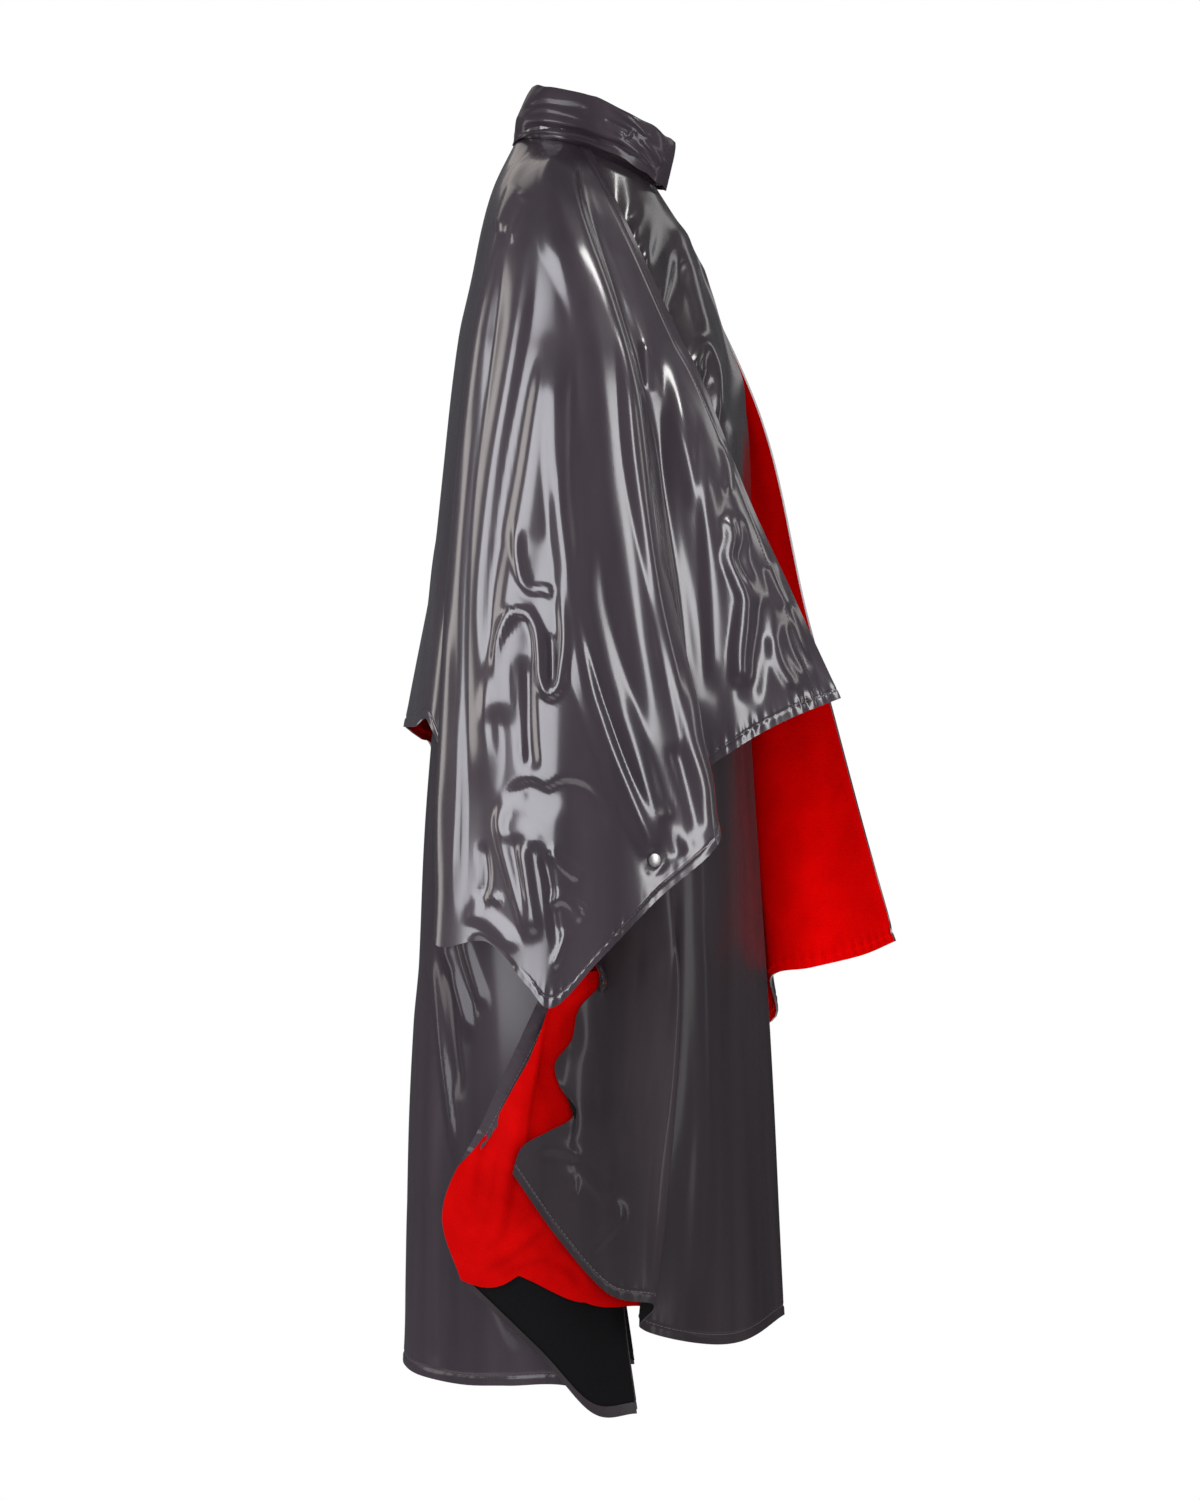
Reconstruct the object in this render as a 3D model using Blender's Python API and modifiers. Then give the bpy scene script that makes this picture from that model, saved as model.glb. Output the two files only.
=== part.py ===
"""Cape coat: a glossy coated cape over a long coat, as it hangs when worn.

Frame: +X is the wearer's front, -Y the wearer's right, +Z up, in metres.
The origin is inside the neck, where the wearer holds the coat up.
Each panel is a smooth surface through its folds. A fold runs from the neck down
to the hem, and its row gives the places it passes, in centimetres.
"""
import math

import bmesh
import bpy
import numpy as np
from mathutils import Vector

CM = 0.01
CAPE_WALL = 0.0020
COAT_WALL = 0.0015
LINING_WALL = 0.0010
COLLAR_WALL = 0.0016
SEAM_GAP = 0.0008

# Angles round the neck: 0 is the centre back, 90 the side, 180 the centre front.
# The coat's neck edge lies inside the cape's by these centimetres.
COAT_NECK_INSET = 0.28
COAT_NECK_DROP = 0.45

# Collar: a stand that rolls over into a fall. Rings at its foot and at its roll:
# centre x, centre z, radius x, radius y, tilt, lift at the sides.
COLLAR_FOOT = (-1.1, -1.3, 6.9, 6.0, 2.1, 0.8)
COLLAR_ROLL = (0.4, 3.25, 6.6, 5.9, 2.7, 0.6)
COLLAR_OPEN_AT = 168.0
# Rows: out from the ring, height from foot 0 to roll 1.
COLLAR_SECTION = (
    (-0.36, 0.02),
    (-0.38, 0.50),
    (-0.30, 0.88),
    (0.05, 1.01),
    (0.46, 0.90),
    (0.72, 0.58),
    (0.78, 0.24),
)
# The fall is shorter towards the front by this much of its height.
FALL_RISE = 0.22
BAND_SECTION = ((0.00, 0.015), (0.32, 0.10), (0.44, 0.26), (0.26, 0.42))

SNAP_RADIUS = 0.0060
SNAP_HEIGHT = 0.0022
SNAP_CLEAR = 0.0005
# Folds passed round the cape, places passed down it.
SNAP_AT = {"right": (9.0, 3.87), "left": (7.0, 3.92)}
# Where the grids' rows lie, counted in places passed down a fold.
CAPE_ROWS = np.concatenate([np.linspace(0, 1, 4), np.linspace(1, 4, 14)[1:]])
COAT_ROWS = np.concatenate([np.linspace(0, 1, 4), np.linspace(1, 4, 8)[1:], np.linspace(4, 5, 7)[1:]])

VINYL = (0.075, 0.064, 0.070, 1.0)
RED = (0.58, 0.003, 0.003, 1.0)
BLACK = (0.004, 0.004, 0.005, 1.0)
METAL = (0.55, 0.54, 0.55, 1.0)

# Right half of the cape, centre back to front edge.
# Columns: neck angle, shoulder, chest, elbow, hem.
CAPE_RIGHT = (
    (0, (-10.0, 0.0, -3.4), (-12.6, 0.0, -16.0), (-14.6, 0.0, -33.0), (-18.6, 0.0, -54.8)),
    (24, (-9.7, -5.5, -3.6), (-12.5, -8.0, -16.5), (-14.6, -9.5, -34.0), (-17.4, -9.0, -54.8)),
    (40, (-9.0, -9.6, -4.0), (-11.8, -13.2, -18.0), (-13.2, -15.4, -36.0), (-15.6, -13.6, -54.7)),
    (50, (-8.6, -11.2, -4.2), (-11.0, -15.4, -18.4), (-11.6, -17.0, -37.0), (-12.2, -15.8, -64.0)),
    (55, (-8.2, -12.8, -4.4), (-11.2, -18.0, -18.6), (-13.2, -20.2, -38.0), (-15.2, -19.4, -74.3)),
    (60, (-7.2, -14.4, -4.4), (-8.8, -21.6, -19.6), (-9.8, -24.8, -40.0), (-10.3, -23.8, -74.4)),
    (66, (-5.8, -16.4, -4.3), (-5.4, -24.2, -20.2), (-5.6, -28.0, -42.0), (-6.6, -26.8, -78.2)),
    (72, (-4.7, -17.4, -4.1), (-2.2, -25.2, -20.5), (-1.8, -29.4, -42.0), (-4.2, -28.0, -80.1)),
    (77, (-3.5, -17.0, -4.3), (0.4, -24.8, -20.5), (1.6, -29.0, -42.0), (0.0, -28.4, -75.8)),
    (81, (-2.5, -16.0, -4.4), (2.2, -23.4, -20.2), (4.4, -27.4, -41.5), (4.9, -27.4, -70.7)),
    (84, (-2.0, -14.4, -4.3), (2.2, -20.0, -20.0), (5.7, -24.8, -41.0), (10.9, -24.0, -65.0)),
    (86, (-1.7, -13.4, -4.3), (2.6, -17.4, -19.5), (6.5, -20.8, -40.0), (8.0, -18.4, -60.6)),
    (88, (-0.8, -12.6, -4.8), (4.0, -16.4, -19.2), (10.4, -19.6, -38.5), (12.7, -17.6, -56.7)),
    (90, (0.6, -11.6, -5.8), (6.0, -14.9, -19.8), (13.4, -17.0, -38.0), (17.5, -15.2, -54.1)),
    (92, (2.3, -11.0, -7.6), (8.3, -12.7, -20.6), (16.0, -13.4, -38.5), (22.3, -12.0, -52.2)),
)
# Left half of the cape, cut longer. The front edge lies on the centre front.
CAPE_LEFT = (
    (0, (-10.0, 0.0, -3.4), (-12.6, 0.0, -16.0), (-14.6, 0.0, -33.0), (-18.6, 0.0, -54.8)),
    (24, (-9.7, 5.5, -3.6), (-12.5, 8.0, -16.5), (-14.4, 9.5, -34.0), (-17.4, 8.6, -55.9)),
    (40, (-9.0, 9.6, -4.0), (-11.8, 13.2, -18.0), (-13.2, 15.4, -36.0), (-16.2, 13.8, -57.3)),
    (50, (-8.6, 11.2, -4.2), (-11.0, 15.4, -18.4), (-11.6, 17.0, -37.0), (-12.2, 16.2, -68.0)),
    (55, (-8.2, 12.8, -4.4), (-11.2, 18.0, -18.6), (-13.2, 20.2, -38.0), (-14.6, 19.8, -79.0)),
    (62, (-6.6, 15.2, -4.4), (-7.4, 22.6, -19.8), (-7.8, 26.0, -41.0), (-8.6, 25.0, -84.0)),
    (72, (-4.7, 17.4, -4.1), (-2.2, 25.2, -20.5), (-1.8, 29.2, -43.0), (-3.0, 28.4, -89.0)),
    (81, (-2.5, 16.0, -4.4), (2.2, 23.4, -20.4), (4.4, 27.2, -43.0), (5.2, 27.6, -89.0)),
    (88, (-0.8, 13.6, -4.8), (4.6, 18.8, -20.4), (8.4, 22.8, -43.0), (12.4, 23.8, -86.0)),
    (98, (0.8, 11.2, -5.6), (7.4, 14.4, -20.4), (11.8, 17.0, -43.0), (17.2, 15.8, -83.2)),
    (106, (2.6, 9.6, -6.4), (9.4, 11.2, -20.4), (13.2, 13.2, -43.4), (16.8, 11.4, -79.0)),
    (114, (4.6, 7.4, -7.2), (11.6, 7.8, -20.4), (16.4, 8.6, -43.8), (20.4, 8.0, -78.0)),
    (122, (6.4, 5.8, -8.4), (13.4, 4.8, -22.0), (18.6, 5.0, -44.4), (25.2, 5.4, -76.7)),
    (128, (7.4, 4.4, -9.0), (14.3, 3.0, -22.8), (20.0, 2.4, -45.0), (28.3, 2.4, -75.2)),
)
# Side seam of the long coat, neck to slit top. Its neck angle is 90.
SIDE_SEAM = ((-4.5, -15.2, -5.8), (-3.0, -16.8, -19.0), (-3.0, -19.2, -49.0), (-0.8, -21.2, -76.0))
# Edges below the slit top, from its end to the hem corner.
FRONT_SLIT = (
    (-0.5, -22.0, -77.6), (-2.6, -23.4, -81.2), (-3.9, -24.2, -85.3),
    (-2.7, -24.8, -89.5), (-6.2, -25.4, -92.6), (-7.9, -25.4, -95.2),
)
BACK_SLIT = ((-1.0, -20.7, -77.8), (2.2, -19.6, -95.0), (2.2, -19.4, -108.0), (3.4, -19.3, -117.2))
# Long coat. Columns: neck angle, shoulder, chest, waist, hip, hem.
COAT_FRONT = (
    (166, (8.6, -0.8, -9.0), (13.6, -0.8, -21.5), (14.4, -0.9, -50.0),
     (16.0, -1.4, -82.0), (17.4, -3.0, -110.3)),
    (150, (6.4, -4.2, -8.8), (11.2, -6.8, -21.5), (12.2, -9.0, -50.0),
     (13.0, -10.5, -82.0), (13.2, -12.0, -111.8)),
    (128, (3.4, -7.6, -7.8), (7.6, -11.2, -21.0), (8.8, -14.6, -50.0),
     (9.6, -17.0, -82.0), (8.7, -18.0, -111.3)),
    (112, (1.4, -8.8, -7.8), (4.4, -13.6, -20.5), (5.4, -16.8, -50.0),
     (5.4, -19.2, -82.0), (3.8, -21.3, -109.6)),
    (104, (0.2, -10.4, -7.4), (2.8, -14.8, -20.0), (4.6, -18.2, -50.0),
     (7.0, -21.6, -80.0), (4.9, -23.2, -107.3)),
    (98, (-1.5, -12.9, -7.2), (0.6, -16.0, -19.5), (1.8, -19.2, -50.0),
     (3.2, -22.4, -79.0), (0.8, -25.0, -106.1)),
    (94, (-3.1, -15.0, -6.2), (-1.2, -16.6, -19.2), (-0.8, -19.4, -49.5),
     (0.8, -22.2, -77.5), (-3.8, -25.6, -101.0)),
)
COAT_BACK = (
    (0, (-9.3, 0.0, -4.2), (-12.0, 0.0, -18.0), (-15.1, 0.0, -46.0),
     (-17.2, 0.0, -76.0), (-18.7, 0.0, -115.0)),
    (22, (-8.9, -4.8, -4.5), (-11.8, -7.0, -18.0), (-14.5, -8.0, -46.0),
     (-16.0, -7.4, -76.0), (-17.0, -6.0, -115.6)),
    (42, (-8.0, -8.4, -5.3), (-10.4, -11.8, -18.4), (-12.2, -13.1, -46.0),
     (-13.0, -13.4, -76.0), (-12.8, -11.5, -115.9)),
    (60, (-7.0, -12.0, -5.9), (-8.2, -14.6, -18.8), (-8.6, -16.4, -46.0),
     (-9.2, -17.4, -76.0), (-8.4, -15.6, -115.5)),
    (76, (-5.7, -14.8, -6.0), (-5.5, -16.2, -19.0), (-5.6, -18.2, -48.0),
     (-4.8, -19.6, -76.0), (-3.0, -18.2, -115.2)),
)
# Corner of the back that hangs turned out at the slit, fold to free edge.
# Columns: slit top, upper, lower, hem.
TURNED_CORNER = (
    ((-0.3, -21.1, -79.0), (2.2, -19.8, -95.0), (2.2, -19.6, -108.0), (3.4, -19.5, -117.6)),
    ((-1.7, -21.2, -79.4), (-2.0, -21.9, -94.6), (-2.2, -21.6, -107.4), (-0.6, -21.0, -117.4)),
    ((-3.4, -21.4, -79.6), (-7.2, -23.0, -92.0), (-8.0, -22.4, -102.5), (-5.2, -21.5, -112.4)),
    ((-5.6, -21.8, -79.8), (-10.3, -22.9, -89.9), (-14.3, -22.2, -99.8), (-12.6, -21.7, -105.2)),
)
# Its lining is cut shorter: how far down the corner each fold of the lining reaches.
LINING_REACH = (0.66, 0.66, 0.74, 0.995)
# Centimetres that it stands off the corner: at the slit top, and lower down.
LINING_LIFT = (0.14, 0.40)
# Share of the width that its edge is inset at the slit top, and the place where that ends.
LINING_INSET = 0.24
LINING_INSET_ENDS = 1.3
# Centimetres that its lower front end reaches past the corner's fold.
LINING_SPREAD = 1.8


def smooth(points, knots, at):
    """Values on the smooth curve through points at knots, read at the places in at."""
    slope = np.gradient(points, knots, axis=0)
    low = np.clip(np.searchsorted(knots, at, side="right") - 1, 0, len(knots) - 2)
    shape = (-1,) + (1,) * (points.ndim - 1)
    gap = (knots[low + 1] - knots[low]).reshape(shape)
    t = (at - knots[low]).reshape(shape) / gap
    near = (1 + 2 * t) * (1 - t) ** 2 * points[low] + t * (1 - t) ** 2 * gap * slope[low]
    far = t ** 2 * (3 - 2 * t) * points[low + 1] + t ** 2 * (t - 1) * gap * slope[low + 1]
    return near + far


def follow(places, at):
    """Points on the curve through places, where at counts the places passed."""
    places = np.array(places, float)
    run = np.concatenate([[0.0], np.cumsum(np.linalg.norm(np.diff(places, axis=0), axis=1))])
    return smooth(places, run, np.interp(at, np.arange(len(places)), run))


def ring(shape, angle, side=-1, out=0.0):
    """Place on a ring round the neck, moved out. side is -1 on the right and 1 on the left."""
    x, z, radius_x, radius_y, tilt, lift = shape
    turn = math.radians(angle)
    return np.array((
        x - (radius_x + out) * math.cos(turn),
        side * (radius_y + out) * math.sin(turn),
        z + tilt * math.cos(turn) + lift * math.sin(turn) ** 2,
    ))


def coat_neck(angle):
    """Place on the coat's neck edge, just inside the cape's."""
    return ring(COLLAR_FOOT, angle, -1, -COAT_NECK_INSET) - (0, 0, COAT_NECK_DROP)


def across(folds, at, before=None, after=None):
    """Surface through folds, read at the fractions at of its width.

    before and after are folds past its edges, which give its slope there.
    """
    rows = [fold for fold in (before, *folds, after) if fold is not None]
    knots = np.arange(len(rows), dtype=float) - (before is not None)
    return smooth(np.stack(rows), knots, at * (len(folds) - 1))


def cape_surface(table, side):
    """Surface of half a cape: (fractions across, places passed down) to points."""
    def surface(width, down):
        folds = [follow((ring(COLLAR_FOOT, row[0], side),) + row[1:], down) for row in table]
        return across(folds, width, before=folds[1] * (1, -1, 1))
    return surface


def coat_surface(table, slit, beyond, mirror=1):
    """Surface of a coat panel whose last fold is the side seam and, below it, the slit edge.

    beyond is the next panel's fold past the seam.
    """
    def surface(width, down):
        above = (down <= 4.0)[:, None]
        folds = [follow((coat_neck(row[0]),) + row[1:], down) for row in table]
        seam = follow((coat_neck(90),) + SIDE_SEAM, np.minimum(down, 4.0))
        lower = (SIDE_SEAM[-1],) + slit
        edge = follow(lower, np.clip(down - 4.0, 0.0, 1.0) * (len(lower) - 1))
        folds.append(np.where(above, seam, edge))
        past_seam = follow((coat_neck(beyond[0]),) + beyond[1:], down)
        after = np.where(above, past_seam, 2 * folds[-1] - folds[-2])
        before = folds[1] * (1, -1, 1) if table[0][1][1] == 0 else None
        return across(folds, width, before, after) * (1, mirror, 1)
    return surface


def corner_surface(mirror=1):
    """Surface of the turned-out corner, its reverse side outwards."""
    def surface(width, down):
        return across([follow(row, down) for row in TURNED_CORNER], width) * (1, mirror, 1)
    return surface


def corner_lining_surface(mirror=1):
    """The turned corner's own points, cut shorter and narrower and moved out."""
    corner = corner_surface()

    def surface(width, down):
        lining = np.empty((len(width), len(down), 3))
        for i, w in enumerate(width):
            reach = np.interp(w, np.linspace(0, 1, len(LINING_REACH)), LINING_REACH)
            for j, d in enumerate(down):
                inset = LINING_INSET * max(0.0, 1 - d / LINING_INSET_ENDS)
                place = corner(np.array([w * (1 - inset)]), np.array([d * reach]))[0, 0]
                spread = LINING_SPREAD * (1 - w) ** 2 * (d / 3.0) ** 2
                lining[i, j] = place + (spread, -np.interp(d, (0, 1), LINING_LIFT), 0)
        return lining * (1, mirror, 1)
    return surface


def collar_surface(section):
    """Sheet round the neck, open at the front, through the section's rows."""
    def surface(width, down):
        collar_points = np.empty((len(width), len(down), 3))
        profile = follow(section, down)
        for i, w in enumerate(width):
            angle = (2 * w - 1) * COLLAR_OPEN_AT
            rise = FALL_RISE * (1 - math.cos(math.radians(angle))) / 2
            for j, (out, height) in enumerate(profile):
                if out > 0.5:
                    height += rise * (1 - height)
                foot = ring(COLLAR_FOOT, angle, -1, out)
                roll = ring(COLLAR_ROLL, angle, -1, out)
                collar_points[i, j] = foot + (roll - foot) * height
        return collar_points
    return surface


def material(name, colour, roughness, metallic=0.0):
    made = bpy.data.materials.new(name)
    made.use_nodes = True
    shader = made.node_tree.nodes["Principled BSDF"]
    shader.inputs["Base Color"].default_value = colour
    shader.inputs["Roughness"].default_value = roughness
    shader.inputs["Metallic"].default_value = metallic
    made.diffuse_color = colour
    return made


def drawn_in(points, first, last):
    """The panel's points with its first and last columns drawn in by these gaps."""
    for end, beside, gap in ((0, 1, first), (-1, -2, last)):
        inward = points[beside] - points[end]
        points[end] += inward / np.linalg.norm(inward, axis=1, keepdims=True) * gap
    return points


def sheet(name, points, wall, finish, facing=1):
    """Cloth panel through a grid of points in metres, with its wall on the inside.

    facing is -1 where the grid's own faces look inside.
    """
    columns, rows = points.shape[:2]
    grid = bmesh.new()
    bmesh.ops.create_grid(grid, x_segments=columns - 1, y_segments=rows - 1, size=1)
    for vert in grid.verts:
        column = round((vert.co.x + 1) / 2 * (columns - 1))
        row = round((vert.co.y + 1) / 2 * (rows - 1))
        vert.co = points[column, row]
    if facing < 0:
        bmesh.ops.reverse_faces(grid, faces=grid.faces)
    panel = placed(name, grid, finish)
    panel.data.shade_smooth()
    solid = panel.modifiers.new("wall", "SOLIDIFY")
    solid.thickness = wall
    solid.offset = -1
    return panel


def placed(name, shape, finish):
    """Object made from a bmesh, in the coat's collection."""
    mesh = bpy.data.meshes.new(name)
    shape.to_mesh(mesh)
    shape.free()
    mesh.materials.append(finish)
    made = bpy.data.objects.new(name, mesh)
    parts.objects.link(made)
    return made


def snap(side, table):
    """Press-stud cap that lies on the cape just above its hem."""
    mirror = -1 if side == "right" else 1
    surface = cape_surface(table, mirror)
    fold, passed = SNAP_AT[side]
    width = np.array([fold, fold + 0.1]) / (len(table) - 1)
    place, below = surface(width[:1], np.array([passed, passed + 0.05]))[0] * CM
    beside = surface(width[1:], np.array([passed]))[0, 0] * CM
    outward = Vector(beside - place).cross(Vector(below - place)).normalized()
    if outward.y * mirror < 0:
        outward.negate()
    cap = bmesh.new()
    bmesh.ops.create_cone(
        cap, cap_ends=True, segments=16,
        radius1=SNAP_RADIUS, radius2=SNAP_RADIUS * 0.8, depth=SNAP_HEIGHT,
    )
    stud = placed("snap_" + side, cap, material("snap_" + side, METAL, 0.3, 1.0))
    stud.rotation_euler = outward.to_track_quat("Z", "Y").to_euler()
    stud.location = Vector(place) + outward * (SNAP_HEIGHT / 2 + SNAP_CLEAR)


def side_pieces(side, cape_table):
    """The panels on one side of the coat. side is "right" or "left"."""
    mirror = 1 if side == "right" else -1
    cape = cape_surface(cape_table, -mirror)
    width = np.linspace(0, 1, 2 * len(cape_table) - 1)
    sheet(
        "cape_" + side, drawn_in(cape(width, CAPE_ROWS) * CM, SEAM_GAP / 2, 0),
        CAPE_WALL, material("cape_" + side, VINYL, 0.18), -mirror,
    )
    front = coat_surface(COAT_FRONT, FRONT_SLIT, COAT_BACK[-1], mirror)
    width = np.linspace(0, 1, 2 * len(COAT_FRONT) + 1)
    sheet(
        "coat_front_" + side, drawn_in(front(width, COAT_ROWS) * CM, SEAM_GAP / 2, SEAM_GAP / 2),
        COAT_WALL, material("coat_front_" + side, VINYL, 0.18), mirror,
    )
    back = coat_surface(COAT_BACK, BACK_SLIT, COAT_FRONT[-1], mirror)
    width = np.linspace(0, 1, 2 * len(COAT_BACK) + 1)
    sheet(
        "coat_back_" + side, drawn_in(back(width, COAT_ROWS) * CM, SEAM_GAP / 2, SEAM_GAP / 2),
        COAT_WALL, material("coat_back_" + side, VINYL, 0.18), -mirror,
    )
    width = np.linspace(0, 1, 9)
    down = np.linspace(0, 3, 9)
    sheet(
        "turned_corner_" + side, corner_surface(mirror)(width, down) * CM,
        COAT_WALL, material("turned_corner_" + side, BLACK, 0.5), mirror,
    )
    sheet(
        "corner_lining_" + side, corner_lining_surface(mirror)(width, down) * CM,
        LINING_WALL, material("corner_lining_" + side, RED, 0.8), mirror,
    )


for old in list(bpy.data.objects):
    bpy.data.objects.remove(old, do_unlink=True)
parts = bpy.data.collections.new("cape_coat")
bpy.context.scene.collection.children.link(parts)

side_pieces("right", CAPE_RIGHT)
side_pieces("left", CAPE_LEFT)
snap("right", CAPE_RIGHT)
snap("left", CAPE_LEFT)
around = np.linspace(0, 1, 25)
sheet(
    "collar", collar_surface(COLLAR_SECTION)(around, np.linspace(0, 6, 11)) * CM,
    COLLAR_WALL, material("collar", VINYL, 0.18), -1,
)
sheet(
    "neck_band", collar_surface(BAND_SECTION)(around, np.linspace(0, 2, 4)) * CM,
    COAT_WALL, material("neck_band", VINYL, 0.18), 1,
)
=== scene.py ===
import math

import bpy
import numpy as np
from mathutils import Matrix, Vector


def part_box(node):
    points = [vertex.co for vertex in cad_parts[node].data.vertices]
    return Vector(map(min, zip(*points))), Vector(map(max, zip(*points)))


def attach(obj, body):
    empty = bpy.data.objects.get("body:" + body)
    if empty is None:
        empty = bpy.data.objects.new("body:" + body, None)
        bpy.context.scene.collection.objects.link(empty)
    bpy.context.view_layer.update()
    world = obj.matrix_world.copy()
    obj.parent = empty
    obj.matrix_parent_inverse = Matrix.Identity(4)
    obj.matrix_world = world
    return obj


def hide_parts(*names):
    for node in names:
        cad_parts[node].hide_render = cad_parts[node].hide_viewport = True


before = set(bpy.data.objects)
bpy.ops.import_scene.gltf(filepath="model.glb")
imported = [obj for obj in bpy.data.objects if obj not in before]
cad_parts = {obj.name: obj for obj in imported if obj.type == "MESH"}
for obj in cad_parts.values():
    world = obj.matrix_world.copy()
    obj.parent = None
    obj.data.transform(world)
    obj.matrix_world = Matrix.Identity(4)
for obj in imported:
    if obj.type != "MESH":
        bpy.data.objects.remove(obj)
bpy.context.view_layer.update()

# Right half of the cape. It is glossy coated cloth bagged out with a red lining, set into the
# neck seam under the collar. It falls over the arm in long folds that fan out from the shoulder,
# turns under itself in one deep pleat in front of the arm, and ends at the open front edge.
CM = 0.01
CAPE_WALL = 0.0018
# The collar's foot on the neck: centre x, centre z, radius x, radius y, tilt, lift, in centimetres.
COLLAR_FOOT = (-1.1, -1.3, 6.9, 6.0, 2.1, 0.8)
# Columns: neck angle, shoulder, chest, elbow, hem, in centimetres, centre back to front edge.
CAPE_RIGHT = (
    (0, (-10, 0, -3.4), (-12.6, 0, -16), (-14.6, 0, -33), (-18.6, 0, -54.8)),
    (24, (-9.7, -5.5, -3.6), (-12.5, -8, -16.5), (-14.6, -9.5, -34), (-17.4, -9, -54.8)),
    (40, (-9, -9.6, -4), (-11.8, -13.2, -18), (-13.2, -15.4, -36), (-15.6, -13.6, -54.7)),
    (50, (-8.6, -11.2, -4.2), (-11, -15.4, -18.4), (-11.6, -17, -37), (-12.2, -15.8, -64)),
    (55, (-8.2, -12.8, -4.4), (-11.2, -18, -18.6), (-13.2, -20.2, -38), (-15.2, -19.4, -74.3)),
    (60, (-7.2, -14.4, -4.4), (-8.8, -21.6, -19.6), (-9.8, -24.8, -40), (-10.3, -23.8, -74.4)),
    (66, (-5.8, -16.4, -4.3), (-5.4, -24.2, -20.2), (-5.6, -28, -42), (-6.6, -26.8, -78.2)),
    (72, (-4.7, -17.4, -4.1), (-2.2, -25.2, -20.5), (-1.8, -29.4, -42), (-4.2, -28, -80.1)),
    (77, (-3.5, -17, -4.3), (0.4, -24.8, -20.5), (1.6, -29, -42), (0, -28.4, -75.8)),
    (81, (-2.5, -16, -4.4), (2.2, -23.4, -20.2), (4.4, -27.4, -41.5), (4.9, -27.4, -70.7)),
    (84, (-2, -14.4, -4.3), (2.2, -20, -20), (5.7, -24.8, -41), (10.9, -24, -65)),
    (86, (-1.7, -13.4, -4.3), (2.6, -17.4, -19.5), (6.5, -20.8, -40), (8, -18.4, -60.6)),
    (88, (-0.8, -12.6, -4.8), (4, -16.4, -19.2), (10.4, -19.6, -38.5), (12.7, -17.6, -56.7)),
    (90, (0.6, -11.6, -5.8), (6, -14.9, -19.8), (13.4, -17, -38), (17.5, -15.2, -54.1)),
    (92, (2.3, -11, -7.6), (8.3, -12.7, -20.6), (16, -13.4, -38.5), (22.3, -12, -52.2)),
)
# The photo's pixel is 0.95 mm at the middle plane, seen by a camera 5 m to the wearer's right.
PIXEL = 0.00095
CAMERA_AWAY = 5.0
CAMERA_Z = -0.57
PHOTO_MIDDLE = (600.0, 750.0)
# Folds pressed into the wing. Columns: reach to the left and right in the photo's pixels, height
# in millimetres (less than 0 for a trough), then the photo's pixels that the fold passes.
WING_FOLDS = (
    (10, 14, 3.5, (470, 255), (462, 330), (452, 440), (444, 560), (438, 700), (434, 800), (430, 900)),
    (8, 8, 2.5, (488, 230), (478, 330), (466, 450), (456, 580), (448, 700), (442, 850), (438, 930)),
    (10, 6, 4.0, (503, 215), (492, 300), (480, 400), (470, 500), (463, 620), (460, 740), (456, 860),
     (452, 930)),
    (18, 9, 6.0, (528, 200), (523, 300), (509, 380), (496, 452), (486, 533), (480, 610), (485, 690),
     (490, 754), (488, 810)),
    (12, 20, 5.5, (556, 330), (543, 395), (530, 475), (518, 545), (507, 620), (498, 700), (494, 730)),
    (12, 9, 6.0, (568, 300), (562, 400), (561, 491), (569, 563), (577, 630), (590, 690), (606, 740),
     (628, 795), (650, 842), (662, 868)),
    (8, 14, 4.5, (586, 520), (588, 600), (602, 660), (628, 740), (652, 810), (672, 860)),
    (16, 24, 3.6, (552, 210), (558, 240), (571, 265), (585, 302), (592, 345), (602, 421), (609, 491),
     (622, 560), (640, 640), (664, 720), (690, 800)),
    (9, 26, 5.0, (622, 300), (628, 380), (634, 458), (646, 533), (659, 600), (674, 670), (692, 740),
     (708, 790), (716, 826)),
    (5, 6, 1.8, (643, 340), (645, 368), (647, 396)),
    (8, 8, -3.0, (672, 740), (688, 790), (700, 836)),
    (6, 7, 2.2, (660, 800), (676, 832), (690, 856)),
    (7, 7, -2.4, (664, 812), (678, 842), (684, 856)),
    (10, 10, 3.0, (520, 186), (508, 206), (498, 232)),
    (6, 6, 2.6, (530, 190), (518, 214), (510, 244)),
    (6, 6, -2.4, (525, 196), (513, 216), (504, 244)),
)
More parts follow.
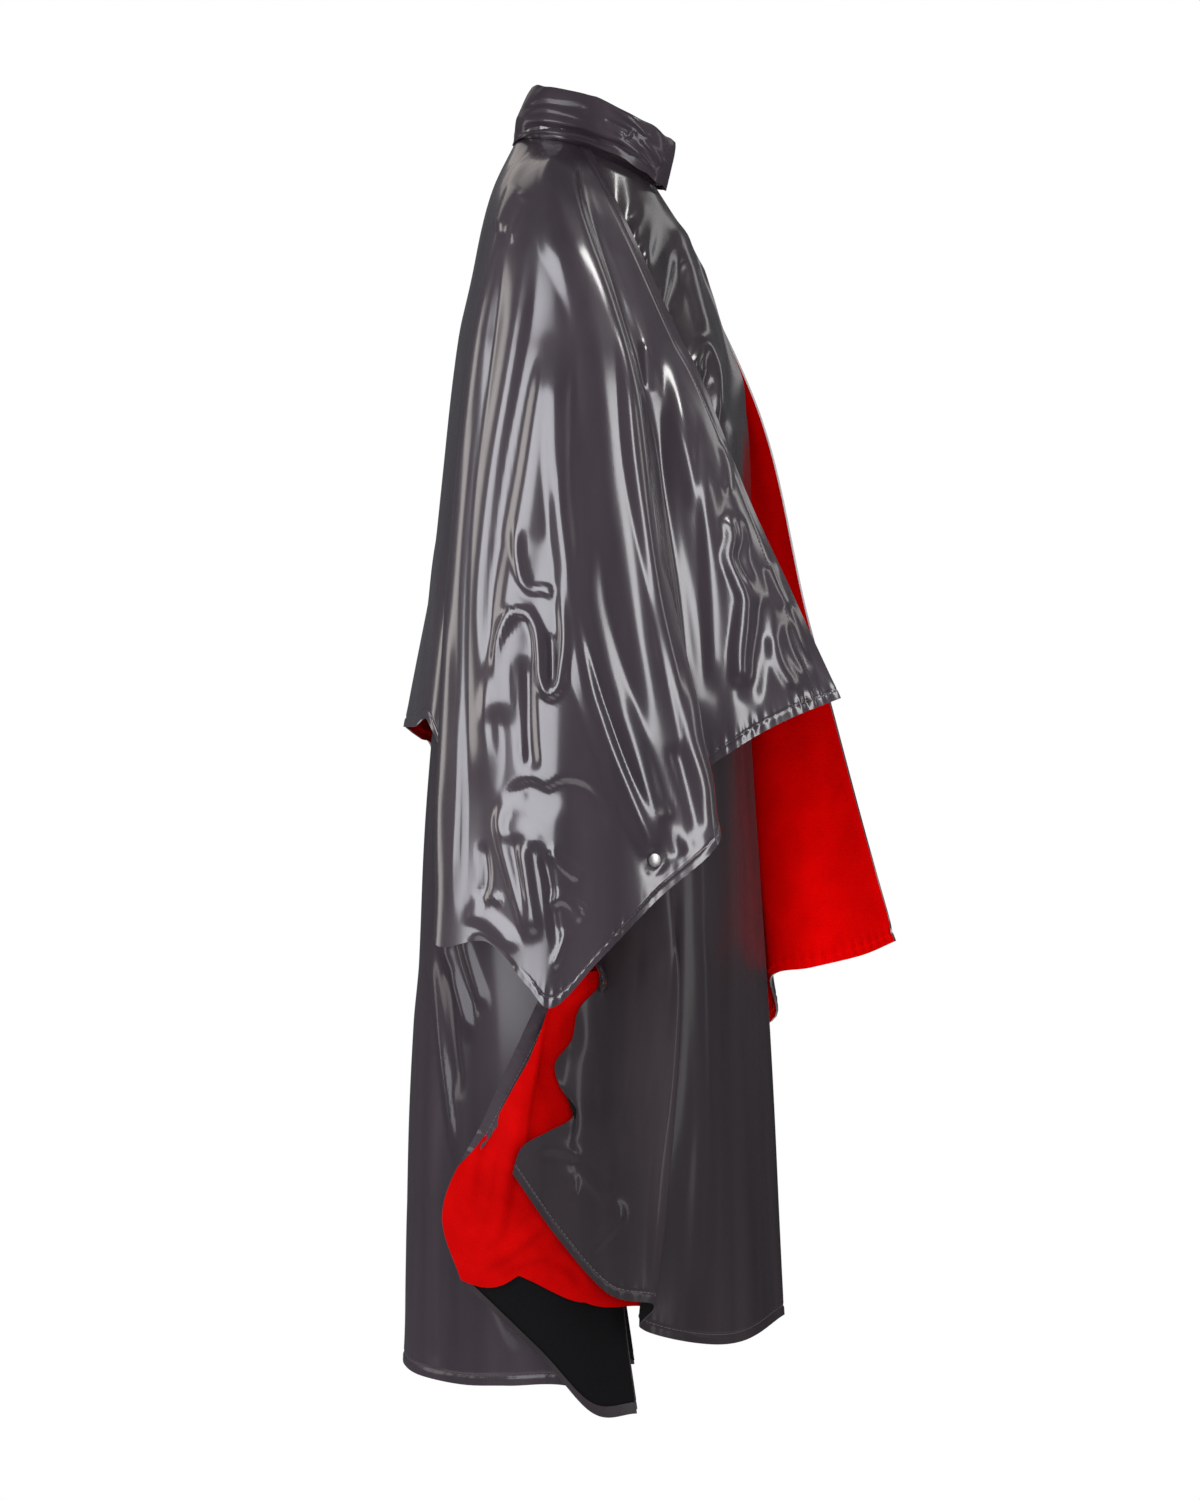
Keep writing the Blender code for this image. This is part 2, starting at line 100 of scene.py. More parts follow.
# The loop of pushed-in cloth at the middle of the wing, and the crumpled cloth below it. A fold
# that passes to the right has its left reach below it.
WING_DENTS = (
    (8, 9, 4.6, (494, 716), (496, 670), (505, 630), (516, 613), (527, 613), (536, 628), (540, 655),
     (542, 680), (550, 694), (558, 689), (563, 670), (565, 640), (562, 605), (556, 560)),
    (8, 8, 3.5, (520, 520), (520, 560), (530, 588), (546, 590), (557, 597)),
    (14, 14, -4.0, (524, 650), (525, 700), (527, 745), (530, 775)),
    (6, 6, -3.0, (550, 630), (551, 660), (551, 684)),
    (4, 5, 2.0, (519, 655), (520, 700), (520, 740), (522, 768)),
    (30, 9, -3.4, (506, 806), (514, 793), (528, 786), (546, 793), (564, 786), (584, 790), (600, 810),
     (606, 838)),
    (14, 16, 2.4, (500, 838), (514, 832), (528, 836), (536, 850)),
    (30, 30, -1.8, (520, 530), (522, 580), (518, 640)),
    (34, 30, -2.0, (592, 560), (596, 640), (612, 720)),
    (8, 10, 3.5, (506, 795), (499, 825), (504, 850), (512, 880), (522, 915), (530, 945)),
    (9, 10, 4.2, (521, 838), (526, 870), (531, 905), (537, 940)),
    (8, 9, -3.5, (540, 846), (548, 880), (552, 915), (556, 945)),
    (7, 7, 3.2, (550, 848), (562, 864), (582, 880)),
    (7, 8, 3.0, (548, 908), (560, 898), (574, 906), (582, 925)),
    (6, 7, 2.6, (568, 928), (560, 952), (552, 970)),
    (14, 12, 2.6, (466, 912), (482, 916), (500, 930), (516, 952)),
    (5, 5, -1.2, (644, 862), (654, 852), (664, 862), (654, 873), (643, 863)),
    (10, 10, -3.5, (470, 938), (486, 948), (500, 960), (512, 974)),
    (6, 6, 2.6, (474, 905), (488, 897), (503, 900)),
    (7, 7, -2.6, (482, 840), (486, 880), (480, 910)),
)
# Above the front edge: the bright band beside the pleat and the crumples along the stitching.
WING_FRONT_FOLDS = (
    (12, 40, 2.4, (670, 340), (680, 400), (690, 460), (700, 520)),
    (14, 26, 3.2, (682, 352), (678, 420), (676, 480), (682, 560), (690, 640), (697, 700), (703, 745)),
    (9, 14, 2.2, (704, 400), (706, 480), (709, 563), (712, 640), (714, 700)),
    (6, 6, 1.6, (720, 440), (728, 470), (726, 498)),
    (8, 9, 2.8, (724, 512), (732, 534), (728, 556), (738, 582), (746, 604)),
    (7, 7, -2.2, (736, 512), (742, 538), (740, 560), (752, 586)),
    (9, 14, 3.4, (746, 586), (742, 620), (738, 656), (741, 690)),
    (14, 10, -2.6, (762, 590), (762, 630), (756, 670), (750, 710)),
    (7, 7, 2.2, (768, 560), (776, 586), (788, 612)),
    (8, 8, 2.0, (772, 630), (780, 664), (796, 690)),
    (8, 6, -1.8, (786, 620), (796, 650), (812, 676)),
)
# A fold fades in and out over this share of its length.
FOLD_FADES = 0.18
# The cloth lies plain for 3 cm below the neck seam, and its folds rise over the next 6 cm.
PLAIN_BELOW_NECK = 0.03
FOLDS_RISE_OVER = 0.06
# The turned-up hem: its stitch line above the edge, how proud it lies, and its puckers.
HEM_STITCH = 0.009
HEM_PROUD = 0.0005
HEM_STEP = 0.0015
HEM_PUCKER = 0.0013
PUCKER_PITCH = 0.0105
GROOVE_DEEP = 0.0006
GROOVE_WIDE = 0.0012
# The front edge's own stitch line, this far in, and its groove.
EDGE_STITCH = 0.012
EDGE_GROOVE_WIDE = 0.002
FINE_STEPS = 900


def smooth(points, knots, at):
    """Values on the smooth curve through points at knots, read at the places in at."""
    slope = np.gradient(points, knots, axis=0)
    low = np.clip(np.searchsorted(knots, at, side="right") - 1, 0, len(knots) - 2)
    shape = (-1,) + (1,) * (points.ndim - 1)
    gap = (knots[low + 1] - knots[low]).reshape(shape)
    t = (at - knots[low]).reshape(shape) / gap
    near = (1 + 2 * t) * (1 - t) ** 2 * points[low] + t * (1 - t) ** 2 * gap * slope[low]
    far = t ** 2 * (3 - 2 * t) * points[low + 1] + t ** 2 * (t - 1) * gap * slope[low + 1]
    return near + far


def follow(places, at):
    """Points on the curve through places, where at counts the places passed."""
    places = np.array(places, float)
    run = np.concatenate([[0.0], np.cumsum(np.linalg.norm(np.diff(places, axis=0), axis=1))])
    return smooth(places, run, np.interp(at, np.arange(len(places)), run))


def across(folds, at, before=None, after=None):
    """Surface through folds, with the folds past its edges that give its slope there."""
    rows = [fold for fold in (before, *folds, after) if fold is not None]
    knots = np.arange(len(rows), dtype=float) - (before is not None)
    return smooth(np.stack(rows), knots, at * (len(folds) - 1))


def ring(shape, angle, side=-1, out=0.0):
    """Place on a ring round the neck, moved out. side is -1 on the right and 1 on the left."""
    x, z, radius_x, radius_y, tilt, lift = shape
    turn = math.radians(angle)
    return np.array((
        x - (radius_x + out) * math.cos(turn),
        side * (radius_y + out) * math.sin(turn),
        z + tilt * math.cos(turn) + lift * math.sin(turn) ** 2,
    ))


def cape_surface(table, side):
    """Surface of half a cape: (fractions across, places passed down) to points."""
    def surface(width, down):
        folds = [follow((ring(COLLAR_FOOT, row[0], side),) + row[1:], down) for row in table]
        return across(folds, width, before=folds[1] * (1, -1, 1))
    return surface


def runs(points, axis):
    """Length of cloth passed along an axis of a grid of points, from 0 at its start."""
    steps = np.linalg.norm(np.diff(points, axis=axis), axis=-1)
    start = np.zeros_like(np.take(steps, [0], axis=axis))
    return np.concatenate([start, np.cumsum(steps, axis=axis)], axis=axis)


def laid_out(surface, width, end, rows, hem_rows):
    """Grid of points in metres whose last rows lie at the distances hem_rows from the hem."""
    fine = surface(width, np.linspace(0, end, FINE_STEPS)) * CM
    passed = runs(fine, 1)
    grid = np.empty((len(width), rows + len(hem_rows), 3))
    for column, (line, run) in enumerate(zip(fine, passed)):
        body = np.linspace(0, run[-1] - hem_rows[0], rows, endpoint=False)
        at = np.concatenate([body, run[-1] - np.array(hem_rows)])
        grid[column] = np.stack([np.interp(at, run, line[:, axis]) for axis in range(3)], axis=-1)
    return grid


def outward(points, facing):
    """Unit normals of a grid of points. facing is 1 or -1, so that they point outside."""
    normal = np.cross(np.gradient(points, axis=0), np.gradient(points, axis=1)) * facing
    return normal / np.maximum(np.linalg.norm(normal, axis=-1, keepdims=True), 1e-12)


def column_places(share, coarse, fine):
    """Places of the columns across a panel, coarse up to a share of its width and fine past it."""
    return np.concatenate([np.linspace(0, share, coarse)[:-1], np.linspace(share, 1, fine)])


def eased(points):
    """How much of its folds the cloth shows, none at the neck seam and all 9 cm below it."""
    return np.clip((runs(points, 1) - PLAIN_BELOW_NECK) / FOLDS_RISE_OVER, 0, 1)


def seen(points):
    """Where points in metres show from the wearer's right, in the photo's pixels."""
    pixel = PIXEL * (CAMERA_AWAY + points[..., 1]) / CAMERA_AWAY
    return np.stack([
        PHOTO_MIDDLE[0] + points[..., 0] / pixel,
        PHOTO_MIDDLE[1] - (points[..., 2] - CAMERA_Z) / pixel,
    ], axis=-1)


def folded(place, folds, scale=1.0, spread=1.0):
    """How far each place stands out, in metres, for folds that pass the given pixels."""
    height = np.zeros(place.shape[:-1])
    for left, right, rise, *path in folds:
        left, right = left * spread, right * spread
        line = follow(path, np.linspace(0, len(path) - 1, 8 * len(path)))
        reach = max(left, right)
        low, high = line.min(axis=0) - reach, line.max(axis=0) + reach
        near = np.all((place > low) & (place < high), axis=-1)
        spots = place[near]
        if not len(spots):
            continue
        start, step = line[:-1], np.diff(line, axis=0)
        apart = spots[:, None] - start[None]
        t = np.clip((apart * step).sum(-1) / (step ** 2).sum(-1), 0, 1)
        gap = apart - t[..., None] * step
        distance = np.linalg.norm(gap, axis=-1)
        closest = distance.argmin(axis=1)
        spot = np.arange(len(spots))
        gap, along = gap[spot, closest], (closest + t[spot, closest]) / len(step)
        way = step[closest]
        to_right = way[:, 1] * gap[:, 0] - way[:, 0] * gap[:, 1] > 0
        share = np.clip(distance[spot, closest] / np.where(to_right, right, left), 0, 1)
        profile = (1 - share ** 2) ** 2
        fade = np.clip(np.minimum(along, 1 - along) / FOLD_FADES, 0, 1)
        height[near] += rise * 0.001 * scale * profile * fade ** 2 * (3 - 2 * fade)
    return height


def wavy(points, seed, rise, lengths=(0.05, 0.16), along=0.25):
    """Soft unevenness of the cloth, longer down the cloth than across it."""
    draw = np.random.default_rng(seed)
    total = np.zeros(points.shape[:-1])
    for _ in range(9):
        length = draw.uniform(*lengths)
        way = draw.normal(size=3) * (1, 1, along)
        way /= np.linalg.norm(way)
        total += np.sin(points @ way * 2 * math.pi / length + draw.uniform(0, 2 * math.pi))
    return total * rise / 3


def hemmed(points, seed, pucker=HEM_PUCKER):
    """Turned-up hem: a band a little proud of the cloth, its stitch groove and puckers."""
    down = runs(points, 1)
    from_hem = down[:, -1:] - down
    along = runs(points, 0)[:, -1:]
    draw = np.random.default_rng(seed)
    drift = np.interp(along, np.linspace(0, along.max(), 40), draw.uniform(-2.2, 2.2, 40))
    weight = np.interp(along, np.linspace(0, along.max(), 60), draw.uniform(0.15, 1.0, 60))
    wave = np.sin(along / PUCKER_PITCH * 2 * math.pi + drift) * weight
    band = HEM_PROUD * np.clip((HEM_STITCH - from_hem) / HEM_STEP, 0, 1)
    groove = -GROOVE_DEEP * np.exp(-((from_hem - HEM_STITCH) / GROOVE_WIDE) ** 2)
    reach = np.exp(-((from_hem - HEM_STITCH) / (0.9 * HEM_STITCH)) ** 2)
    return band + groove + pucker * wave * reach


def made_grid(name, points, wall, outsides, insides, facing, zones=()):
    """Solid sheet of cloth inwards from a grid of points. Past each row in zones, its finishes change."""
    bpy.ops.object.select_all(action="DESELECT")
    columns, rows = points.shape[:2]
    bpy.ops.mesh.primitive_grid_add(x_subdivisions=columns - 1, y_subdivisions=rows - 1, size=2)
    piece = bpy.context.object
    piece.name = piece.data.name = name
    flat = np.empty(len(piece.data.vertices) * 3)
    piece.data.vertices.foreach_get("co", flat)
    flat = flat.reshape(-1, 3)
    column = np.rint((flat[:, 0] + 1) / 2 * (columns - 1)).astype(int)
    row = np.rint((flat[:, 1] + 1) / 2 * (rows - 1)).astype(int)
    piece.data.vertices.foreach_set("co", points[column, row].ravel())
    cloth = np.stack([runs(points, 0), runs(points, 1)], axis=-1)[column, row]
    corners = np.empty(len(piece.data.loops), int)
    piece.data.loops.foreach_get("vertex_index", corners)
    piece.data.uv_layers[0].data.foreach_set("uv", cloth[corners].ravel())
    for finish in outsides + insides:
        piece.data.materials.append(finish)
    if zones:
        highest = np.array([row[list(face.vertices)].min() for face in piece.data.polygons])
        finish = np.searchsorted(zones, highest, side="right")
        piece.data.polygons.foreach_set("material_index", finish)
    if facing < 0:
        bpy.ops.object.mode_set(mode="EDIT")
        bpy.ops.mesh.select_all(action="SELECT")
        bpy.ops.mesh.flip_normals()
        bpy.ops.object.mode_set(mode="OBJECT")
    solid = piece.modifiers.new("wall", "SOLIDIFY")
    solid.thickness = wall
    solid.offset = -1
    solid.material_offset = len(outsides)
    bpy.ops.object.modifier_apply(modifier="wall")
    bpy.ops.object.shade_smooth_by_angle(angle=math.radians(60))
    return piece


def dressed(node, kind, points, height, wall, outsides, insides, facing, zones=()):
    """Sheet of cloth that stands for a node of the source, its points first moved out by height."""
    points += outward(points, facing) * height[..., None]
    piece = made_grid("%s_%s" % (node, kind), points, wall, outsides, insides, facing, zones)
    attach(piece, "root")
    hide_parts(node)
    return piece


def linear(code):
    """Linear colour of an sRGB hex value such as #4A4248."""
    parts = [int(code[i:i + 2], 16) / 255 for i in (1, 3, 5)]
    return tuple(c / 12.92 if c <= 0.04045 else ((c + 0.055) / 1.055) ** 2.4 for c in parts) + (1.0,)


def add_node(tree, kind, sockets=None, links=None, **settings):
    """Adds a node of a kind with its socket values, its links and its settings."""
    node = tree.nodes.new("ShaderNode" + kind)
    for key, value in settings.items():
        setattr(node, key, value)
    for key, value in (sockets or {}).items():
        node.inputs[key].default_value = value
    for key, value in (links or {}).items():
        tree.links.new(value, node.inputs[key])
    return node


def new_material(name, sockets):
    """New material with these values on its shader, and its tree and shader."""
    made = bpy.data.materials.new(name)
    made.use_nodes = True
    shader = made.node_tree.nodes["Principled BSDF"]
    for key, value in sockets.items():
        shader.inputs[key].default_value = value
    return made, made.node_tree, shader


def mottled(tree, place, scale, low, high, detail=2.0, spread=(0.0, 1.0)):
    """Gives the shader uneven colour from low to high, on noise that it hands back."""
    noise = add_node(tree, "TexNoise", {"Scale": scale, "Detail": detail}, {"Vector": place})
    tones = add_node(tree, "ValToRGB", links={"Fac": noise.outputs["Fac"]})
    for end, position, code in zip(tones.color_ramp.elements, spread, (low, high)):
        end.position, end.color = position, linear(code)
    tree.links.new(tones.outputs["Color"], tree.nodes["Principled BSDF"].inputs["Base Color"])
    return noise


def coated_cloth(name, low, high, roughness, shine):
    """Coated cloth in the greys from low to high. shine sets its clear top layer."""
    made, tree, shader = new_material(name, {
        "IOR": 1.5, "Coat Weight": shine, "Coat Roughness": 0.17, "Coat IOR": 1.5,
        "Specular IOR Level": 0.12 * shine + 0.04,
    })
    place = add_node(tree, "TexCoord").outputs["Object"]
    drawn = add_node(tree, "Mapping", {"Scale": (1.0, 1.0, 0.08)}, {"Vector": place}).outputs["Vector"]
    mottled(tree, drawn, 14.0, low, high, 4.0, (0.35, 0.68))
    smear = add_node(tree, "TexNoise", {"Scale": 26.0, "Detail": 5.0, "Roughness": 0.6}, {"Vector": place})
    rough = add_node(tree, "MapRange", {"From Min": 0.3, "From Max": 0.75, "To Min": roughness[0],
                                        "To Max": roughness[1]}, {"Value": smear.outputs["Fac"]})
    tree.links.new(rough.outputs["Result"], shader.inputs["Roughness"])
    stretched = add_node(tree, "Mapping", {"Scale": (1.0, 1.0, 0.35)}, {"Vector": place}).outputs["Vector"]
    # Ripples 35 mm apart run down the cloth, handled creases are 9 mm, and the orange peel is 3 mm.
    links = {}
    for at, noise, strength, distance in (
        (drawn, {"Scale": 28.0, "Detail": 1.5}, 0.3, 0.0016),
        (stretched, {"Scale": 110.0, "Detail": 4.0, "Roughness": 0.6}, 0.35, 0.0006),
        (place, {"Scale": 330.0, "Detail": 1.0}, 0.3, 0.0002),
    ):
        links["Height"] = add_node(tree, "TexNoise", noise, {"Vector": at}).outputs["Fac"]
        relief = add_node(tree, "Bump", {"Strength": strength, "Distance": distance}, links)
        links["Normal"] = relief.outputs["Normal"]
    tree.links.new(links["Normal"], shader.inputs["Normal"])
    return made


# Polyurethane-coated cloth, cast smooth and calendered glossy. It mirrors the lights in long
# streaks, and has the faint orange peel and soft ripple of a coating on a woven base.
vinyl = coated_cloth("polyurethane_coated_cloth", "#201B20", "#2C262B", (0.28, 0.44), 1.0)


# Plain-woven red cotton lining, piece-dyed and unglazed. It stays matt and even, with a soft
# bloom at its edges. Its threads are 0.4 mm apart, and are drawn 1.6 mm apart so that they show.
def dyed_cotton(name, low, high):
    """Woven cotton in the reds from low to high."""
    made, tree, shader = new_material(name, {
        "Roughness": 0.9, "Specular IOR Level": 0.03, "Sheen Weight": 0.01, "Sheen Roughness": 0.5,
        "Sheen Tint": linear("#E01810"),
    })
    cloth = add_node(tree, "UVMap").outputs["UV"]
    mottled(tree, cloth, 30.0, low, high, 3.0, (0.3, 0.7))
    warp, weft = [add_node(tree, "TexWave", {"Scale": 100.0, "Distortion": 0.6}, {"Vector": cloth},
                           wave_type="BANDS", bands_direction=way) for way in "XY"]
    weave = add_node(tree, "Math", links={0: warp.outputs["Fac"], 1: weft.outputs["Fac"]},
                     operation="MULTIPLY")
    bump = add_node(tree, "Bump", {"Strength": 0.4, "Distance": 0.0003}, {"Height": weave.outputs["Value"]})
    tree.links.new(bump.outputs["Normal"], shader.inputs["Normal"])
    return made


cape_lining = dyed_cotton("red_cotton_cape_lining", "#C60000", "#D40101")

# Polyester sewing thread in the coat's grey, twisted and waxed, which leaves it a little shiny.
thread, tree, _ = new_material("polyester_thread", {"Roughness": 0.45})
mottled(tree, add_node(tree, "TexCoord").outputs["Object"], 900.0, "#2C2629", "#4A4347")

STITCH_LENGTH = 0.0030
STITCH_GAP = 0.0012
STITCH_STARTS = 0.002
THREAD_WIDTH = 0.0007


def stitched(name, points, facing, at):
    """Row of topstitches of thread along the line at of a grid of points and its normals."""
    line, outside = points[at], facing[at]
    bpy.ops.object.select_all(action="DESELECT")
    bpy.ops.mesh.primitive_cylinder_add(vertices=6, radius=0.5, depth=1.0)
    piece = bpy.context.object
    piece.name = piece.data.name = name
    bpy.ops.object.mode_set(mode="EDIT")
    bpy.ops.mesh.select_all(action="SELECT")
    bpy.ops.mesh.bevel(offset=0.16, segments=1, affect="EDGES")
    bpy.ops.object.mode_set(mode="OBJECT")
    one = np.empty(len(piece.data.vertices) * 3)
    piece.data.vertices.foreach_get("co", one)
    one = one.reshape(-1, 3)
    faces = [list(face.vertices) for face in piece.data.polygons]
    run = np.concatenate([[0.0], np.cumsum(np.linalg.norm(np.diff(line, axis=0), axis=1))])
    verts, polys = [], []
    for start in np.arange(STITCH_STARTS, run[-1] - STITCH_LENGTH, STITCH_LENGTH + STITCH_GAP):
        ends = [np.array([np.interp(at, run, line[:, axis]) for axis in range(3)])
                for at in (start, start + STITCH_LENGTH)]
        up = np.array([np.interp(start, run, outside[:, axis]) for axis in range(3)])
        way = (ends[1] - ends[0]) / np.linalg.norm(ends[1] - ends[0])
        side = np.cross(up, way)
        side /= np.linalg.norm(side)
        up = np.cross(way, side)
        middle = (ends[0] + ends[1]) / 2 + up * (THREAD_WIDTH * 0.3)
        polys += [[corner + len(verts) * len(one) for corner in face] for face in faces]
        verts.append(middle + one[:, :1] * side * THREAD_WIDTH + one[:, 1:2] * up * THREAD_WIDTH
                     + one[:, 2:] * way * STITCH_LENGTH)
    mesh = bpy.data.meshes.new(name)
    mesh.from_pydata(np.concatenate(verts).tolist(), [], polys)
    old, piece.data = piece.data, mesh
    bpy.data.meshes.remove(old)
    mesh.materials.append(thread)
    bpy.ops.object.shade_smooth_by_angle(angle=math.radians(50))
    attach(piece, "root")
    return piece


HEM_ROWS = (0.024, 0.0215, 0.019, 0.0165, 0.0145, 0.0130, 0.0117, 0.0104, HEM_STITCH, 0.0078, 0.0064,
            0.0048, 0.0030, 0.0014, 0.0)
HEM_LINE = (slice(None), HEM_ROWS.index(HEM_STITCH) - len(HEM_ROWS))
# The front edge's stitches run down the eighth column from it, clear of the neck and the hem.
EDGE_LINE = (-8, slice(30, -2))
width = column_places(0.22, 26, 185)
points = laid_out(cape_surface(CAPE_RIGHT, -1), width, 4, 205, HEM_ROWS)
place = seen(points)
front_gap = runs(points, 0)[-1:] - runs(points, 0)
edge_groove = GROOVE_DEEP * np.exp(-((front_gap - EDGE_STITCH) / EDGE_GROOVE_WIDE) ** 2)
# The hem is plain where the wing's back corner turns under, and puckers more towards the front.
passed = width[:, None] * (len(CAPE_RIGHT) - 1)
hem_shows = np.clip(3.2 - passed, 0, 1) + np.clip((passed - 5.8) / 0.5, 0, 1)
pucker = HEM_PUCKER * np.interp(passed, (6, 9, 11), (0.4, 1.1, 1.6))
height = (
    folded(place, WING_FOLDS, 0.9, 1.5) + folded(place, WING_DENTS)
    + folded(place, WING_FRONT_FOLDS, 1.1, 1.3) + wavy(points, 11, 0.0008)
) * eased(points) + hemmed(points, 12, pucker) * hem_shows - edge_groove
cape = dressed("cape_right", "shell", points, height, CAPE_WALL, [vinyl], [cape_lining], -1)
facing = outward(points, -1)
stitches = [stitched("cape_right_hem_stitches", points, facing, (passed[:, 0] > 6, HEM_LINE[1])),
            stitched("cape_right_edge_stitches", points, facing, EDGE_LINE)]

# Left half of the cape, of the same two cloths and cut longer. It wraps round the far arm, and its
# front edge stands out on the centre front, so that its red lining shows from the right.
CAPE_LEFT = (
    (0, (-10, 0, -3.4), (-12.6, 0, -16), (-14.6, 0, -33), (-18.6, 0, -54.8)),
    (24, (-9.7, 5.5, -3.6), (-12.5, 8, -16.5), (-14.4, 9.5, -34), (-17.4, 8.6, -55.9)),
    (40, (-9, 9.6, -4), (-11.8, 13.2, -18), (-13.2, 15.4, -36), (-16.2, 13.8, -57.3)),
    (50, (-8.6, 11.2, -4.2), (-11, 15.4, -18.4), (-11.6, 17, -37), (-12.2, 16.2, -68)),
    (55, (-8.2, 12.8, -4.4), (-11.2, 18, -18.6), (-13.2, 20.2, -38), (-14.6, 19.8, -79)),
    (62, (-6.6, 15.2, -4.4), (-7.4, 22.6, -19.8), (-7.8, 26, -41), (-8.6, 25, -84)),
    (72, (-4.7, 17.4, -4.1), (-2.2, 25.2, -20.5), (-1.8, 29.2, -43), (-3, 28.4, -89)),
    (81, (-2.5, 16, -4.4), (2.2, 23.4, -20.4), (4.4, 27.2, -43), (5.2, 27.6, -89)),
    (88, (-0.8, 13.6, -4.8), (4.6, 18.8, -20.4), (8.4, 22.8, -43), (12.4, 23.8, -86)),
    (98, (0.8, 11.2, -5.6), (7.4, 14.4, -20.4), (11.8, 17, -43), (17.2, 15.8, -83.2)),
    (106, (2.6, 9.6, -6.4), (9.4, 11.2, -20.4), (13.2, 13.2, -43.4), (16.8, 11.4, -79)),
    (114, (4.6, 7.4, -7.2), (11.6, 7.8, -20.4), (16.4, 8.6, -43.8), (20.4, 8, -78)),
    (122, (6.4, 5.8, -8.4), (13.4, 4.8, -22), (18.6, 5, -44.4), (25.2, 5.4, -76.7)),
    (128, (7.55, 4.4, -9), (14.55, 3, -22.7), (20.1, 2.4, -45), (28.3, 2.4, -75.2)),
)
# The wing's folds lie 6 pixels further back here and 14 lower, and fade out over 8 cm before they
# are 22 cm from the front edge.
FOLDS_MOVED = (6, -14)
FOLDS_STOP_AT = 0.22
FOLDS_STOP_OVER = 0.08
width = column_places(0.2, 18, 140)
points = laid_out(cape_surface(CAPE_LEFT, 1), width, 4, 170, HEM_ROWS)
place = seen(points * (1, -1, 1)) + FOLDS_MOVED
front_gap = runs(points, 0)[-1:] - runs(points, 0)
front_ease = np.clip((front_gap - FOLDS_STOP_AT) / FOLDS_STOP_OVER, 0, 1)
height = folded(place, WING_FOLDS, 0.9) * front_ease + wavy(points, 21, 0.0010)
height = height * eased(points) + hemmed(points, 22)
cape = dressed("cape_left", "shell", points, height, CAPE_WALL, [vinyl], [cape_lining], 1)
facing = outward(points, 1)
stitches = [stitched("cape_left_hem_stitches", points, facing, HEM_LINE),
            stitched("cape_left_edge_stitches", points, facing, EDGE_LINE)]

# Fronts of the long coat, each one panel from the neck seam to the hem. The cloth's own black
# reverse is inside, with the red lining above it, and the panel's edge is loose at the side slit.
COAT_WALL = 0.0014
# The coat's neck lies inside the cape's and below it, in centimetres.
COAT_NECK_INSET = 0.28
COAT_NECK_DROP = 0.45
# The side seam starts at this neck angle and ends, where the slit starts, four places down.
SEAM_ANGLE = 90
SLIT_STARTS = 4.0
SIDE_SEAM = ((-4.5, -15.2, -5.8), (-3, -16.8, -19), (-3, -19.2, -49), (-0.8, -21.2, -76))
FRONT_SLIT = (
    (0.3, -22, -77.6), (-1.9, -23, -80.6), (-2.4, -23.8, -83.1), (-4.1, -24.2, -85.6),
    (-3.7, -24.4, -87.2), (-1.9, -24.8, -89.5), (-2.3, -24.9, -90.1), (-4.6, -25.1, -91.4),
    (-7.1, -25.3, -92.9), (-7.9, -25.4, -95.2),
)
BACK_SLIT = ((-1, -20.7, -77.8), (2.2, -19.6, -95), (2.2, -19.4, -108), (3.4, -19.3, -117.2))
# Columns: neck angle, shoulder, chest, waist, hip, hem.
COAT_FRONT = (
    (166, (8.6, -0.8, -9), (13.2, -0.8, -21.5), (14, -0.9, -50),
     (16, -1.4, -82), (17.4, -3, -110.3)),
    (150, (6.4, -4.2, -8.8), (11.2, -6.8, -21.5), (12.2, -9, -50),
     (13, -10.5, -82), (13.2, -12, -111.8)),
    (128, (3.4, -7.6, -7.8), (7.6, -11.2, -21), (8.8, -14.6, -50),
     (9.6, -17, -82), (8.7, -18, -111.3)),
    (112, (1.4, -8.8, -7.8), (4.4, -13.6, -20.5), (5.4, -16.8, -50),
     (5.4, -19.2, -82), (3.8, -21.3, -109.6)),
    (104, (0.2, -10.4, -7.4), (2.8, -14.8, -20), (4.6, -18.2, -50),
     (7, -21.6, -80), (4.9, -23.2, -107.3)),
    (98, (-1.5, -12.9, -7.2), (0.6, -16, -19.5), (1.8, -19.2, -50),
     (3.2, -22.4, -79), (0.8, -25, -106.1)),
    (94, (-3.1, -15, -6.2), (-1.2, -16.6, -19.2), (-0.8, -19.4, -49.5),
     (0.8, -22.2, -77.5), (-3.8, -25.6, -101)),
)
COAT_BACK = (
    (0, (-9.3, 0, -4.2), (-12, 0, -18), (-15.1, 0, -46),
     (-17.2, 0, -76), (-18.7, 0, -115)),
    (22, (-8.9, -4.8, -4.5), (-11.8, -7, -18), (-14.5, -8, -46),
     (-16, -7.4, -76), (-17, -6, -115.6)),
    (42, (-8, -8.4, -5.3), (-10.4, -11.8, -18.4), (-12.2, -13.1, -46),
     (-13, -13.4, -76), (-12.8, -11.5, -115.9)),
    (60, (-7, -12, -5.9), (-8.2, -14.6, -18.8), (-8.6, -16.4, -46),
     (-9.2, -17.4, -76), (-8.4, -15.6, -115.5)),
    (76, (-5.7, -14.8, -6), (-5.5, -16.2, -19), (-5.6, -18.2, -48),
     (-4.8, -19.6, -76), (-3, -18.2, -115.2)),
)
